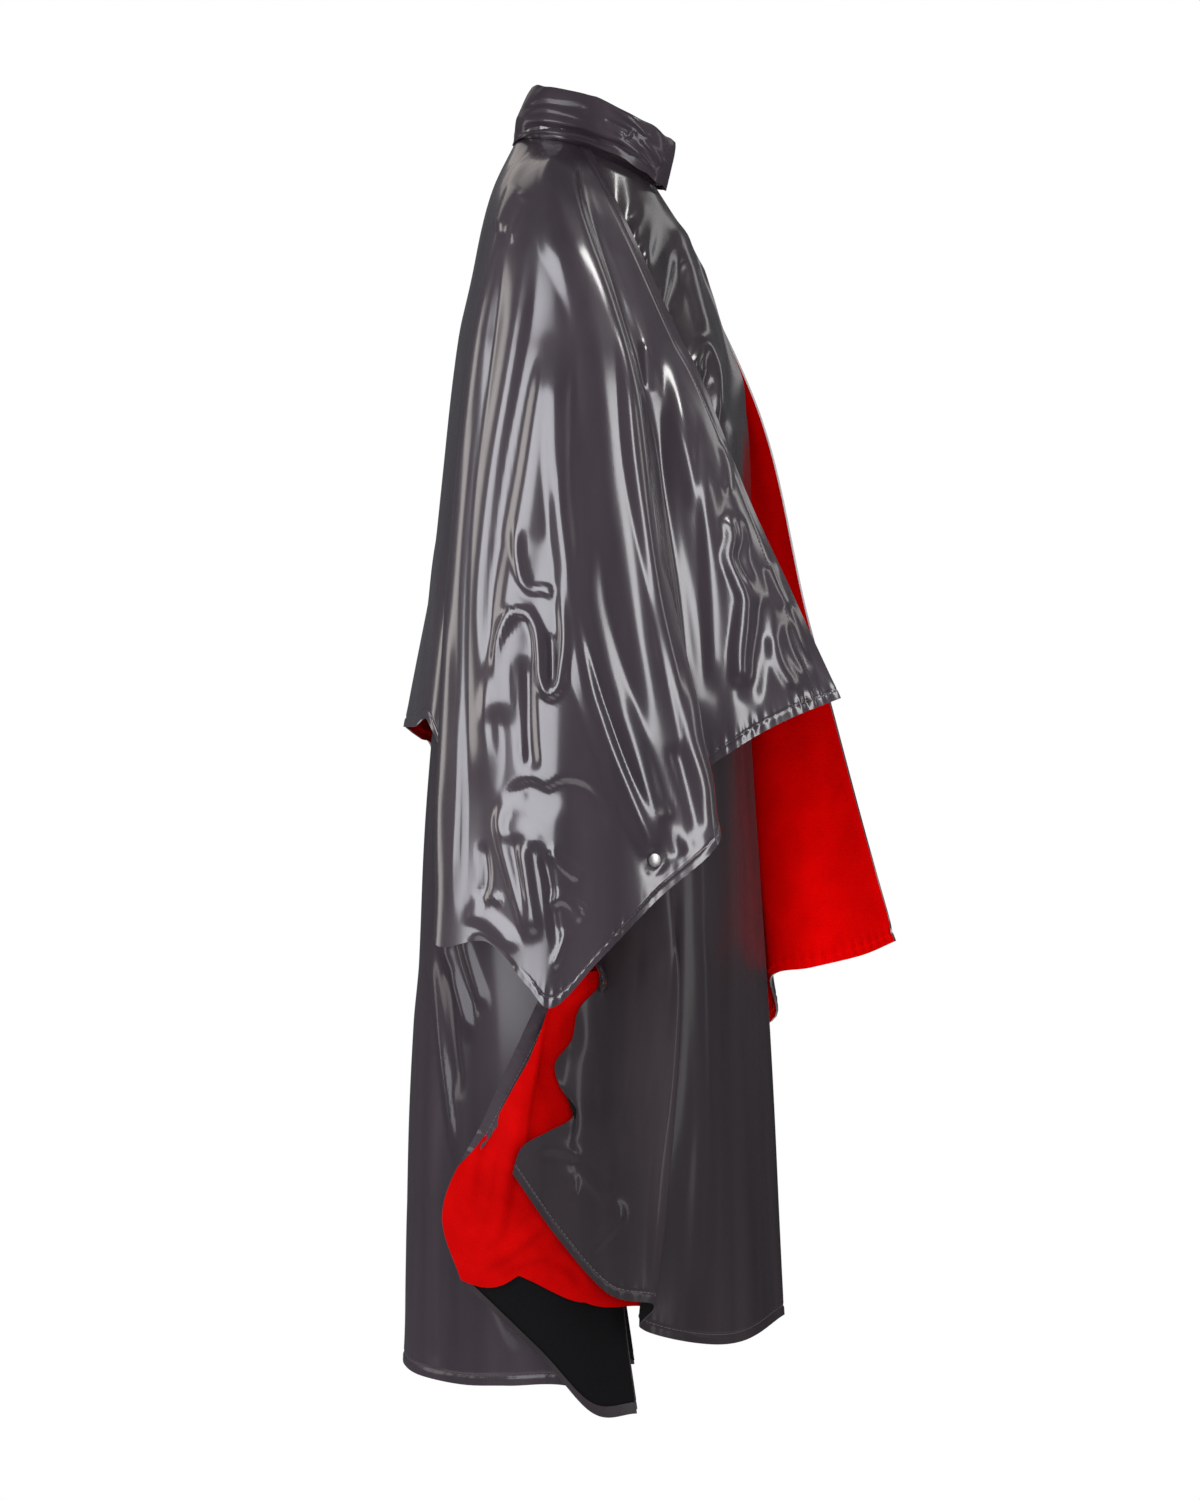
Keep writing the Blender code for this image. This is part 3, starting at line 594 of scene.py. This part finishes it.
FRONT_FOLDS = (
    (9, 8, 4.6, (652, 178), (646, 205), (636, 228), (628, 252)),
    (7, 7, -4.4, (644, 186), (638, 208), (630, 226)),
    (9, 9, 4.2, (664, 186), (656, 214), (648, 244), (640, 270)),
    (12, 11, 4.2, (692, 208), (682, 238), (672, 264), (664, 290), (652, 316), (640, 340)),
    (9, 9, -4.4, (680, 252), (674, 286), (668, 318)),
    (8, 9, 3.6, (670, 210), (686, 256), (698, 300), (708, 340)),
    (8, 8, 5.0, (692, 388), (696, 356), (704, 345), (713, 360), (717, 400), (718, 430)),
    (8, 8, -3.6, (705, 372), (707, 400), (710, 440)),
    (8, 8, 4.0, (700, 240), (714, 282), (730, 318), (738, 360), (742, 420)),
    (9, 9, -3.2, (704, 262), (722, 312), (732, 372), (734, 430)),
    (5, 26, 3.4, (684, 890), (680, 951), (675, 1030), (669, 1100), (660, 1165), (655, 1220), (652, 1309)),
    (20, 50, -5.0, (628, 900), (606, 950), (596, 1000), (590, 1050), (586, 1100), (584, 1150)),
    (10, 14, 2.0, (652, 940), (646, 1000), (634, 1080), (620, 1160)),
    (12, 14, -2.4, (650, 960), (644, 1040), (632, 1110), (622, 1160)),
    (16, 12, 1.6, (706, 900), (708, 1000), (709, 1120), (707, 1240), (705, 1320)),
    (14, 14, -1.6, (728, 900), (730, 1000), (731, 1120), (728, 1240), (724, 1310)),
    (7, 8, 3.4, (600, 1207), (612, 1205), (619, 1212), (613, 1226), (600, 1240), (590, 1258)),
    (5, 6, 2.2, (572, 1178), (574, 1188), (570, 1196)),
    (8, 9, -2.0, (560, 1150), (580, 1170), (600, 1190), (616, 1204)),
    (12, 8, 3.0, (536, 1150), (552, 1144), (568, 1150), (580, 1162)),
)
BACK_FOLDS = (
    (7, 5, 3.4, (430, 940), (436, 994), (442, 1050), (450, 1110), (457, 1166)),
    (9, 9, -3.0, (446, 950), (450, 1000), (454, 1050), (460, 1100)),
    (9, 10, 3.6, (442, 930), (450, 968), (462, 1000), (470, 1040)),
    (9, 8, 3.0, (462, 930), (474, 972), (486, 1010)),
    (8, 8, -3.0, (452, 930), (462, 975), (476, 1020)),
    (12, 12, 2.2, (418, 960), (416, 1050), (414, 1150), (412, 1250), (412, 1350)),
    (12, 12, -2.0, (440, 1190), (436, 1250), (434, 1320), (436, 1380)),
    (9, 9, 2.0, (462, 1190), (478, 1250), (500, 1310), (520, 1350)),
    (5, 5, 2.4, (512, 1160), (508, 1178), (506, 1200)),
)


def coat_surface(table, slit, beyond, mirror):
    """Surface of a coat panel whose last fold is the side seam and, below it, the slit edge.

    beyond is the next panel's fold past the seam. mirror is 1 on the right and -1 on the left.
    """
    def neck(angle):
        return ring(COLLAR_FOOT, angle, -1, -COAT_NECK_INSET) - (0, 0, COAT_NECK_DROP)

    def surface(width, down):
        above = (down <= SLIT_STARTS)[:, None]
        folds = [follow((neck(row[0]),) + row[1:], down) for row in table]
        seam = follow((neck(SEAM_ANGLE),) + SIDE_SEAM, np.minimum(down, SLIT_STARTS))
        lower = (SIDE_SEAM[-1],) + slit
        edge = follow(lower, np.clip(down - SLIT_STARTS, 0.0, 1.0) * (len(lower) - 1))
        folds.append(np.where(above, seam, edge))
        past_seam = follow((neck(beyond[0]),) + beyond[1:], down)
        after = np.where(above, past_seam, 2 * folds[-1] - folds[-2])
        before = folds[1] * (1, -1, 1) if table[0][1][1] == 0 else None
        return across(folds, width, before, after) * (1, mirror, 1)
    return surface


# The reverse of the coated cloth: a black knitted backing that drinks the light.
reverse, tree, shader = new_material("black_knit_backing", {"Roughness": 0.9, "Specular IOR Level": 0.1})
cloth = add_node(tree, "UVMap").outputs["UV"]
knit = mottled(tree, cloth, 420.0, "#030304", "#070708")
knit_bump = add_node(tree, "Bump", {"Strength": 0.3, "Distance": 0.0003}, {"Height": knit.outputs["Fac"]})
tree.links.new(knit_bump.outputs["Normal"], shader.inputs["Normal"])

# The coat's lining is the same cotton in a darker red than the cape's, painted shade that tones down the
# turned-out corner's lining where it hangs in full light. It ends 15 cm above the hem.
painted_shade_coat_lining = dyed_cotton("red_cotton_coat_lining_painted_shade", "#7E0000", "#8C0101")
# Below the cape the same coated cloth is duller, where it hasn't been rubbed to a gloss, and its colour is
# darker as painted shade.
dull_vinyl_painted_shade = coated_cloth("polyurethane_coated_cloth_dull_painted_shade", "#1A1719", "#272225", (0.34, 0.5), 0.1)
# On the fronts the gloss fades out between the chest and the cape's hem, over the dull cloth's darker
# colour, which is painted shade.
GLOSS_FADES = (-0.40, -0.60)
GLOSS = (0.95, 0.1)
fading_vinyl_painted_shade = coated_cloth("polyurethane_coated_cloth_fading_painted_shade", "#1A1719", "#272225", (0.34, 0.5), 0.1)
tree = fading_vinyl_painted_shade.node_tree
place = add_node(tree, "TexCoord").outputs["Object"]
height = add_node(tree, "SeparateXYZ", links={"Vector": place}).outputs["Z"]
fade = add_node(tree, "MapRange", {"From Min": GLOSS_FADES[0], "From Max": GLOSS_FADES[1],
                                   "To Min": GLOSS[0], "To Max": GLOSS[1]},
                {"Value": height}, interpolation_type="SMOOTHSTEP")
tree.links.new(fade.outputs["Result"], tree.nodes["Principled BSDF"].inputs["Coat Weight"])
# The backs and the collar keep about a third of the gloss.
soft_vinyl = coated_cloth("polyurethane_coated_cloth_soft", "#1E191E", "#2B252A", (0.34, 0.5), 0.34)
COAT_ROWS = 200
LINING_ENDS_ROW = 177
SIDES = (("right", 1), ("left", -1))
for side, mirror in SIDES:
    surface = coat_surface(COAT_FRONT, FRONT_SLIT, COAT_BACK[-1], mirror)
    points = laid_out(surface, column_places(0.3, 26, 118), 5, COAT_ROWS, HEM_ROWS)
    place = seen(points * (1, mirror, 1))
    height = folded(place, FRONT_FOLDS, 1.0, 1.25) + wavy(points, 31 + mirror, 0.0005)
    height = height * eased(points) + hemmed(points, 33 + mirror, pucker=0.0004)
    piece = dressed("coat_front_" + side, "shell", points, height, COAT_WALL, [fading_vinyl_painted_shade] * 2,
                    [painted_shade_coat_lining, reverse], mirror, zones=(LINING_ENDS_ROW,))
    stitches = stitched("coat_front_%s_hem_stitches" % side, points, outward(points, mirror), HEM_LINE)

# Backs of the long coat, joined in a centre seam. They hang straight from the shoulder blades
# and end at the side slit, where the lower corner is turned out.
CENTRE_SEAM_DEEP = 0.0008
CENTRE_SEAM_WIDE = 0.002
for side, mirror in SIDES:
    surface = coat_surface(COAT_BACK, BACK_SLIT, COAT_FRONT[-1], mirror)
    points = laid_out(surface, np.linspace(0, 1, 96), 5, COAT_ROWS, HEM_ROWS)
    place = seen(points * (1, mirror, 1))
    height = folded(place, BACK_FOLDS) + wavy(points, 41 + mirror, 0.0008)
    height = height * eased(points) + hemmed(points, 43 + mirror, pucker=0.0003)
    height -= CENTRE_SEAM_DEEP * np.exp(-(runs(points, 0) / CENTRE_SEAM_WIDE) ** 2)
    piece = dressed("coat_back_" + side, "shell", points, height, COAT_WALL, [soft_vinyl] * 2,
                    [painted_shade_coat_lining, reverse], -mirror, zones=(LINING_ENDS_ROW,))
    stitches = stitched("coat_back_%s_hem_stitches" % side, points, outward(points, -mirror), HEM_LINE)

# Lower side corner of each back, which hangs turned out at the slit, so that its black knitted
# backing shows. Its narrow hem is turned over to that side and shows as a grey strip.
TURNED_CORNER = (
    ((-0.4, -20.95, -79), (2.15, -19.62, -95), (2.15, -19.42, -108), (3.35, -19.32, -117.6)),
    ((-1.7, -21.2, -79.4), (-2, -21.9, -94.6), (-2.2, -21.6, -107.4), (-0.6, -21, -117.4)),
    ((-3.4, -21.4, -79.6), (-7.2, -23, -92), (-8, -22.4, -102.5), (-5.2, -21.5, -112.4)),
    ((-5.6, -21.8, -79.8), (-10.3, -22.9, -89.9), (-14.3, -22.2, -99.8), (-12.6, -21.7, -105.2)),
)
# The grey strip's share of the corner's width, by how far down it is.
TURNED_EDGE_DOWN = (0.0, 0.3, 0.6, 0.95, 1.3, 1.7)
TURNED_EDGE_WIDTH = (0.36, 0.30, 0.24, 0.15, 0.08, 0.02)
TURNED_EDGE_WALL = 0.0006
TURNED_EDGE_PROUD = 0.0022
TURNED_EDGE_LINE = (4, slice(4, -8))
# The narrow hem takes up the corner's last rows.
TURNED_HEM_ROWS = 8
TURNED_HEM_WALL = 0.0008
TURNED_HEM_PROUD = 0.0012


def corner_surface(width, down):
    """Surface of the turned-out corner, its reverse side outwards."""
    return across([follow(row, down) for row in TURNED_CORNER], width)


for side, mirror in SIDES:
    points = laid_out(corner_surface, np.linspace(0, 1, 80), 3, 90, HEM_ROWS) * (1, mirror, 1)
    facing = outward(points, mirror)
    # The corner's inside and its narrow hem take the darker cloth, whose colour is painted shade.
    corner = dressed("turned_corner_" + side, "cloth", points, wavy(points, 51 + mirror, 0.0004),
                     COAT_WALL, [reverse], [dull_vinyl_painted_shade], mirror)
    strip = points[:, -TURNED_HEM_ROWS:] + facing[:, -TURNED_HEM_ROWS:] * TURNED_HEM_PROUD
    strip_piece = made_grid("turned_hem_%s" % side, strip, TURNED_HEM_WALL, [dull_vinyl_painted_shade],
                            [dull_vinyl_painted_shade], mirror)
    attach(strip_piece, "root")
    down = np.linspace(0.0, TURNED_EDGE_DOWN[-1], 110)
    reach = np.interp(down, TURNED_EDGE_DOWN, TURNED_EDGE_WIDTH)
    edge = np.stack([
        corner_surface(1 - part * reach, down).diagonal().T for part in np.linspace(1, 0, 12)
    ]) * CM * (1, mirror, 1)
    facing = outward(edge, mirror)
    crumple = wavy(edge, 55 + mirror, 0.0007, (0.009, 0.02), 1.0)
    edge += facing * (TURNED_EDGE_PROUD + crumple)[..., None]
    edge_piece = made_grid("turned_edge_%s" % side, edge, TURNED_EDGE_WALL, [vinyl], [vinyl], mirror)
    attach(edge_piece, "root")
    stitches = stitched("turned_edge_%s_stitches" % side, edge, facing, TURNED_EDGE_LINE)

# Red cotton lining of the turned-out corner. It is cut shorter and narrower than the corner, and
# hangs from the slit, with its top under the cape.
LINING_WALL = 0.0009
LINING_REACH = (0.66, 0.66, 0.74, 0.995)
LINING_LIFT = (0.14, 0.40)
# It is narrower at the top by this share, which fades out on the way down, and spreads below.
LINING_INSET = 0.30
LINING_INSET_ENDS = 1.5
LINING_SPREAD = 1.8
# At its top the lining reaches on to the right and up, under the cape.
LINING_TOP = (1.3, 2.2)
LINING_TOP_ENDS = 0.5
LINING_FOLDS = (
    (30, 6, 6.0, (546, 1000), (541, 1035), (536, 1061), (530, 1095), (526, 1120), (524, 1150),
     (524, 1190)),
    (12, 12, 3.0, (520, 1080), (512, 1140), (503, 1200), (488, 1262)),
    (10, 10, -2.6, (500, 1100), (484, 1160), (476, 1220)),
    (10, 14, 2.6, (474, 1268), (500, 1258), (524, 1240), (548, 1224), (566, 1236)),
    (10, 8, -2.4, (500, 1280), (530, 1268), (560, 1262), (590, 1290)),
)


def lining_surface(width, down):
    """The turned corner's own points, cut shorter and narrower and moved out."""
    cut = np.empty((len(width), len(down), 3))
    reach = np.interp(width, np.linspace(0, 1, len(LINING_REACH)), LINING_REACH)
    inset = LINING_INSET * np.clip(1 - down / LINING_INSET_ENDS, 0, 1)
    top = np.clip(1 - down / LINING_TOP_ENDS, 0, 1)
    lift = np.interp(down, (0, 1), LINING_LIFT)
    for i, w in enumerate(width):
        for j, d in enumerate(down):
            cut[i, j] = corner_surface(np.array([w * (1 - inset[j])]), np.array([d * reach[i]]))[0, 0]
        spread = LINING_SPREAD * (1 - w) ** 2 * (down / 3.0) ** 2 + LINING_TOP[0] * (1 - w) * top
        cut[i] += np.stack([spread, -lift, LINING_TOP[1] * top], axis=-1)
    return cut


for side, mirror in SIDES:
    points = lining_surface(np.linspace(0, 1, 80), np.linspace(0, 3, 90)) * CM * (1, mirror, 1)
    height = folded(seen(points * (1, mirror, 1)), LINING_FOLDS) + wavy(points, 61 + mirror, 0.0004)
    # The corner lining takes the coat lining's darker red, which is painted shade.
    piece = dressed("corner_lining_" + side, "cloth", points, height, LINING_WALL, [painted_shade_coat_lining], [painted_shade_coat_lining],
                    mirror)

# Collar of the same coated cloth, a stand that rolls over into a fall, open at the front.
# The fall's lower edge is soft and lies on the cape in two or three long creases.
COLLAR_WALL = 0.0015
COLLAR_ROLL = (0.4, 3.25, 6.6, 5.9, 2.7, 0.6)
COLLAR_OPEN_AT = 168.0
COLLAR_SECTION = (
    (-0.36, 0.02), (-0.38, 0.50), (-0.30, 0.88), (0.05, 1.01), (0.46, 0.90), (0.72, 0.58), (0.78, 0.24),
)
# Height of the fall's lower edge above the collar's foot, by the angle from the back.
FALL_END_AT = (0, 40, 66, 90, 111, 130, 150, 168)
FALL_END = (-0.06, 0.02, 0.10, 0.08, 0.01, -0.06, -0.11, -0.12)
# The section is the fall once it is this far out. Its back is tucked in towards the lower edge.
FALL_PAST = 0.3
FALL_TUCK = 0.6
TUCK_BELOW = 0.4
COLLAR_FOLDS = (
    (3, 12, 3.0, (512, 130), (533, 123), (551, 121), (573, 125), (597, 133), (618, 141), (640, 156),
     (660, 176)),
    (3, 3, -2.4, (512, 136), (533, 130), (553, 127), (573, 130), (597, 138), (618, 147), (640, 162)),
    (3, 4, 1.8, (514, 142), (529, 135), (544, 132), (573, 135), (599, 141), (624, 150), (640, 162)),
    (5, 5, 1.6, (520, 118), (540, 108), (566, 111), (584, 118), (606, 128)),
    (5, 4, -1.4, (524, 110), (545, 103), (570, 104), (592, 111)),
    (4, 5, 1.8, (588, 96), (602, 100), (620, 112), (635, 124), (655, 144)),
    (3, 3, 1.6, (601, 124), (612, 129), (628, 136), (634, 128)),
    (3, 3, -1.4, (604, 118), (618, 124), (640, 138)),
    (6, 6, 1.2, (640, 140), (652, 150), (664, 166)),
    (5, 6, -1.2, (620, 132), (640, 146), (658, 168)),
)


def collar_surface(section, width, down, fall=False):
    """Sheet round the neck, open at the front, through the section's rows."""
    profile = follow(section, down)
    sheet = np.empty((len(width), len(down), 3))
    for i, w in enumerate(width):
        angle = (2 * w - 1) * COLLAR_OPEN_AT
        end = np.interp(abs(angle), FALL_END_AT, FALL_END)
        for j, (out, height) in enumerate(profile):
            if fall and out > FALL_PAST:
                height = 1 - (1 - height) * (1 - end) / (1 - section[-1][1])
                tuck = np.clip((TUCK_BELOW - height) / TUCK_BELOW, 0, 1)
                out -= FALL_TUCK * max(math.cos(math.radians(angle)), 0) * tuck
            foot = ring(COLLAR_FOOT, angle, -1, out)
            roll = ring(COLLAR_ROLL, angle, -1, out)
            sheet[i, j] = foot + (roll - foot) * height
    return sheet


# Of the collar's rows, the roll starts at the 15th and the fall at the 42nd.
row = np.arange(90)
around, down = np.linspace(0, 1, 260), np.linspace(0, 6, len(row))
points = collar_surface(COLLAR_SECTION, around, down, fall=True) * CM
facing = outward(points, -1)
rolled = np.clip((row - 15) / 15.0, 0, 1)
fallen = np.clip((row - 42) / 10.0, 0, 1)
height = folded(seen(points), COLLAR_FOLDS) * (points[..., 1] < 0)
height = (height + wavy(points, 71, 0.0005, (0.02, 0.07), 1.0)) * fallen
points += facing * height[..., None]
points[..., 2] += wavy(points, 72, 0.0014, (0.02, 0.08)) * rolled
collar = made_grid("collar_shell", points, COLLAR_WALL, [soft_vinyl], [soft_vinyl], -1)
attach(collar, "root")
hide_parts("collar")

# Neck band: the soft roll of doubled cloth that covers the neck seam under the fall.
BAND_SECTION = ((0.00, 0.015), (0.32, 0.10), (0.44, 0.26), (0.26, 0.42))
points = collar_surface(BAND_SECTION, np.linspace(0, 1, 200), np.linspace(0, 3, 24)) * CM
height = wavy(points, 81, 0.0003, (0.01, 0.04))
band = dressed("neck_band", "shell", points, height, COAT_WALL, [vinyl], [vinyl], 1)

# Press-studs of nickel-plated brass: a flat cap with a rolled rim and a dished middle, riveted
# through the cape's hem on each side.
SNAP_RADIUS = 0.0060
SNAP_HEIGHT = 0.0022
SNAP_EDGE = 0.0003
# Rim, dish, floor of the dish and middle: how far in from the last ring, and how far up.
SNAP_RINGS = ((0.0012, 0.0003), (0.0010, -0.0009), (0.0016, 0.0), (0.0010, 0.0005))
# The cape's fold and place passed down where each one sits.
SNAP_AT = {"right": (9.0, 3.87), "left": (7.0, 3.92)}
nickel, tree, shader = new_material("nickel_plated_brass", {"Metallic": 1.0, "Roughness": 0.25})
place = add_node(tree, "TexCoord").outputs["Object"]
wear = mottled(tree, place, 700.0, "#6E6B6B", "#A5A2A1", 3.0)
scuffs = add_node(tree, "MapRange", {"To Min": 0.2, "To Max": 0.45}, {"Value": wear.outputs["Fac"]})
tree.links.new(scuffs.outputs["Result"], shader.inputs["Roughness"])
for side, table, mirror in (("right", CAPE_RIGHT, -1), ("left", CAPE_LEFT, 1)):
    low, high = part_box("snap_" + side)
    surface = cape_surface(table, mirror)
    fold, passed = SNAP_AT[side]
    width = np.array([fold, fold + 0.1]) / (len(table) - 1)
    spot, below = surface(width[:1], np.array([passed, passed + 0.05]))[0] * CM
    beside = surface(width[1:], np.array([passed]))[0, 0] * CM
    out = Vector(beside - spot).cross(Vector(below - spot)).normalized()
    if out.y * mirror < 0:
        out.negate()
    bpy.ops.object.select_all(action="DESELECT")
    bpy.ops.mesh.primitive_cylinder_add(vertices=40, radius=SNAP_RADIUS, depth=SNAP_HEIGHT)
    cap = bpy.context.object
    cap.name = cap.data.name = "press_stud_" + side
    top = max(cap.data.polygons, key=lambda face: face.center.z)
    for face in cap.data.polygons:
        face.select = face == top
    for vert in cap.data.vertices:
        vert.select = vert.co.z > 0
    bpy.ops.object.mode_set(mode="EDIT")
    bpy.ops.mesh.select_mode(type="FACE")
    for inset, rise in SNAP_RINGS:
        bpy.ops.mesh.inset(thickness=inset)
        bpy.ops.transform.translate(value=(0, 0, rise))
    bpy.ops.object.mode_set(mode="OBJECT")
    rounded = cap.modifiers.new("rounded", "BEVEL")
    rounded.width, rounded.segments, rounded.limit_method = SNAP_EDGE, 2, "ANGLE"
    bpy.ops.object.modifier_apply(modifier="rounded")
    bpy.ops.object.shade_smooth_by_angle(angle=math.radians(40))
    cap.rotation_euler = out.to_track_quat("Z", "Y").to_euler()
    cap.location = (Vector(low) + Vector(high)) / 2
    bpy.ops.object.transform_apply(location=True, rotation=True, scale=True)
    cap.data.materials.append(nickel)
    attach(cap, "root")
    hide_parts("snap_" + side)

# Camera level with the middle of the coat, 5 m to the wearer's right, with the photo's frame.
PHOTO_TALL = 1500
SENSOR_TALL = 24.0
camera = bpy.data.cameras.new("camera")
camera.sensor_fit = "VERTICAL"
camera.sensor_height = SENSOR_TALL
camera.lens = SENSOR_TALL * CAMERA_AWAY / (PHOTO_TALL * PIXEL)
viewer = bpy.data.objects.new("camera", camera)
viewer.location = (0, -CAMERA_AWAY, CAMERA_Z)
viewer.rotation_euler = (math.radians(90), 0, 0)
bpy.context.scene.collection.objects.link(viewer)
bpy.context.scene.camera = viewer

# Plain pale studio floor, a round of painted board under the hanging coat.
FLOOR_RADIUS = 1.45
FLOOR_THICK = 0.02
FLOOR_Z = -1.51
bpy.ops.object.select_all(action="DESELECT")
bpy.ops.mesh.primitive_cylinder_add(vertices=96, radius=FLOOR_RADIUS, depth=FLOOR_THICK,
                                    location=(0, 0, FLOOR_Z))
floor = bpy.context.object
floor.name = "floor"
paint = {"Roughness": 0.9, "Base Color": linear("#E6E4E2")}
floor.data.materials.append(new_material("matt_floor_paint", paint)[0])

# Studio light: tall soft boxes left and right of the camera, weaker ones in front of and behind
# the coat, and an overhead one, in a room that the camera sees as white and the gloss as grey.
world = bpy.data.worlds.new("studio")
bpy.context.scene.world = world
world.use_nodes = True
tree = world.node_tree
backdrop = tree.nodes["Background"]
ray = add_node(tree, "LightPath")
white = add_node(tree, "Background", {"Color": (1, 1, 1, 1), "Strength": 1.0})
backdrop.inputs["Color"].default_value = (0.95, 0.96, 1.0, 1)
backdrop.inputs["Strength"].default_value = 0.85
mirrored = add_node(tree, "Background", {"Color": (0.9, 0.92, 1.0, 1), "Strength": 0.1})
room = add_node(tree, "MixShader", links={
    0: ray.outputs["Is Glossy Ray"], 1: backdrop.outputs[0], 2: mirrored.outputs[0]})
mixed = add_node(tree, "MixShader", links={
    0: ray.outputs["Is Camera Ray"], 1: room.outputs[0], 2: white.outputs[0]})
tree.links.new(mixed.outputs[0], tree.nodes["World Output"].inputs["Surface"])
# Columns: name, place, aimed at, width, height, power, colour, whether gloss mirrors it.
SOFT_BOXES = (
    ("key_front", (0.2, -4.8, 0.7), (0, 0, -0.5), 0.6, 2.4, 60, (1.0, 0.99, 0.97), False),
    ("key_left", (-3.3, -2.1, 0.3), (0, 0, -0.5), 2.3, 3.2, 190, (0.94, 0.95, 1.0), True),
    ("key_right", (3.1, -2.6, 0.4), (0, 0, -0.5), 1.0, 3.6, 112, (0.98, 0.98, 1.0), True),
    ("high_right", (2.4, -0.4, 2.2), (0, 0, -0.3), 0.6, 0.6, 25, (1.0, 0.99, 0.97), True),
    ("side_front", (3.2, 0.2, 0.0), (0, 0, -0.5), 0.3, 2.0, 8, (1.0, 0.98, 0.95), True),
    ("high_front", (2.5, 2.0, 1.1), (0, 0, -0.3), 0.7, 1.7, 6, (1.0, 0.98, 0.96), True),
    ("high_behind", (-1.2, 2.4, 1.3), (0, 0, -0.1), 1.4, 1.0, 2.4, (1.0, 0.92, 0.85), True),
    ("overhead", (-0.6, -1.6, 2.4), (0, 0, -0.3), 1.2, 1.2, 40, (1.0, 0.98, 0.95), False),
    ("behind_back", (-3.0, 0.8, 0.0), (0, 0, -0.5), 0.8, 2.2, 20, (1.0, 0.95, 0.9), True),
    ("lining_fill", (0.6, -4.8, -0.7), (0.15, 0, -0.6), 1.0, 1.0, 90, (1.0, 0.98, 0.96), False),
)
for name, place, aim, wide, tall, power, colour, mirrored in SOFT_BOXES:
    light = bpy.data.lights.new(name, "AREA")
    light.shape = "RECTANGLE"
    light.size, light.size_y, light.energy, light.color = wide, tall, power, colour
    box = bpy.data.objects.new(name, light)
    box.visible_glossy = mirrored
    box.location = place
    box.rotation_euler = (Vector(place) - Vector(aim)).to_track_quat("Z", "Y").to_euler()
    bpy.context.scene.collection.objects.link(box)
bpy.context.scene.view_settings.view_transform = "Standard"
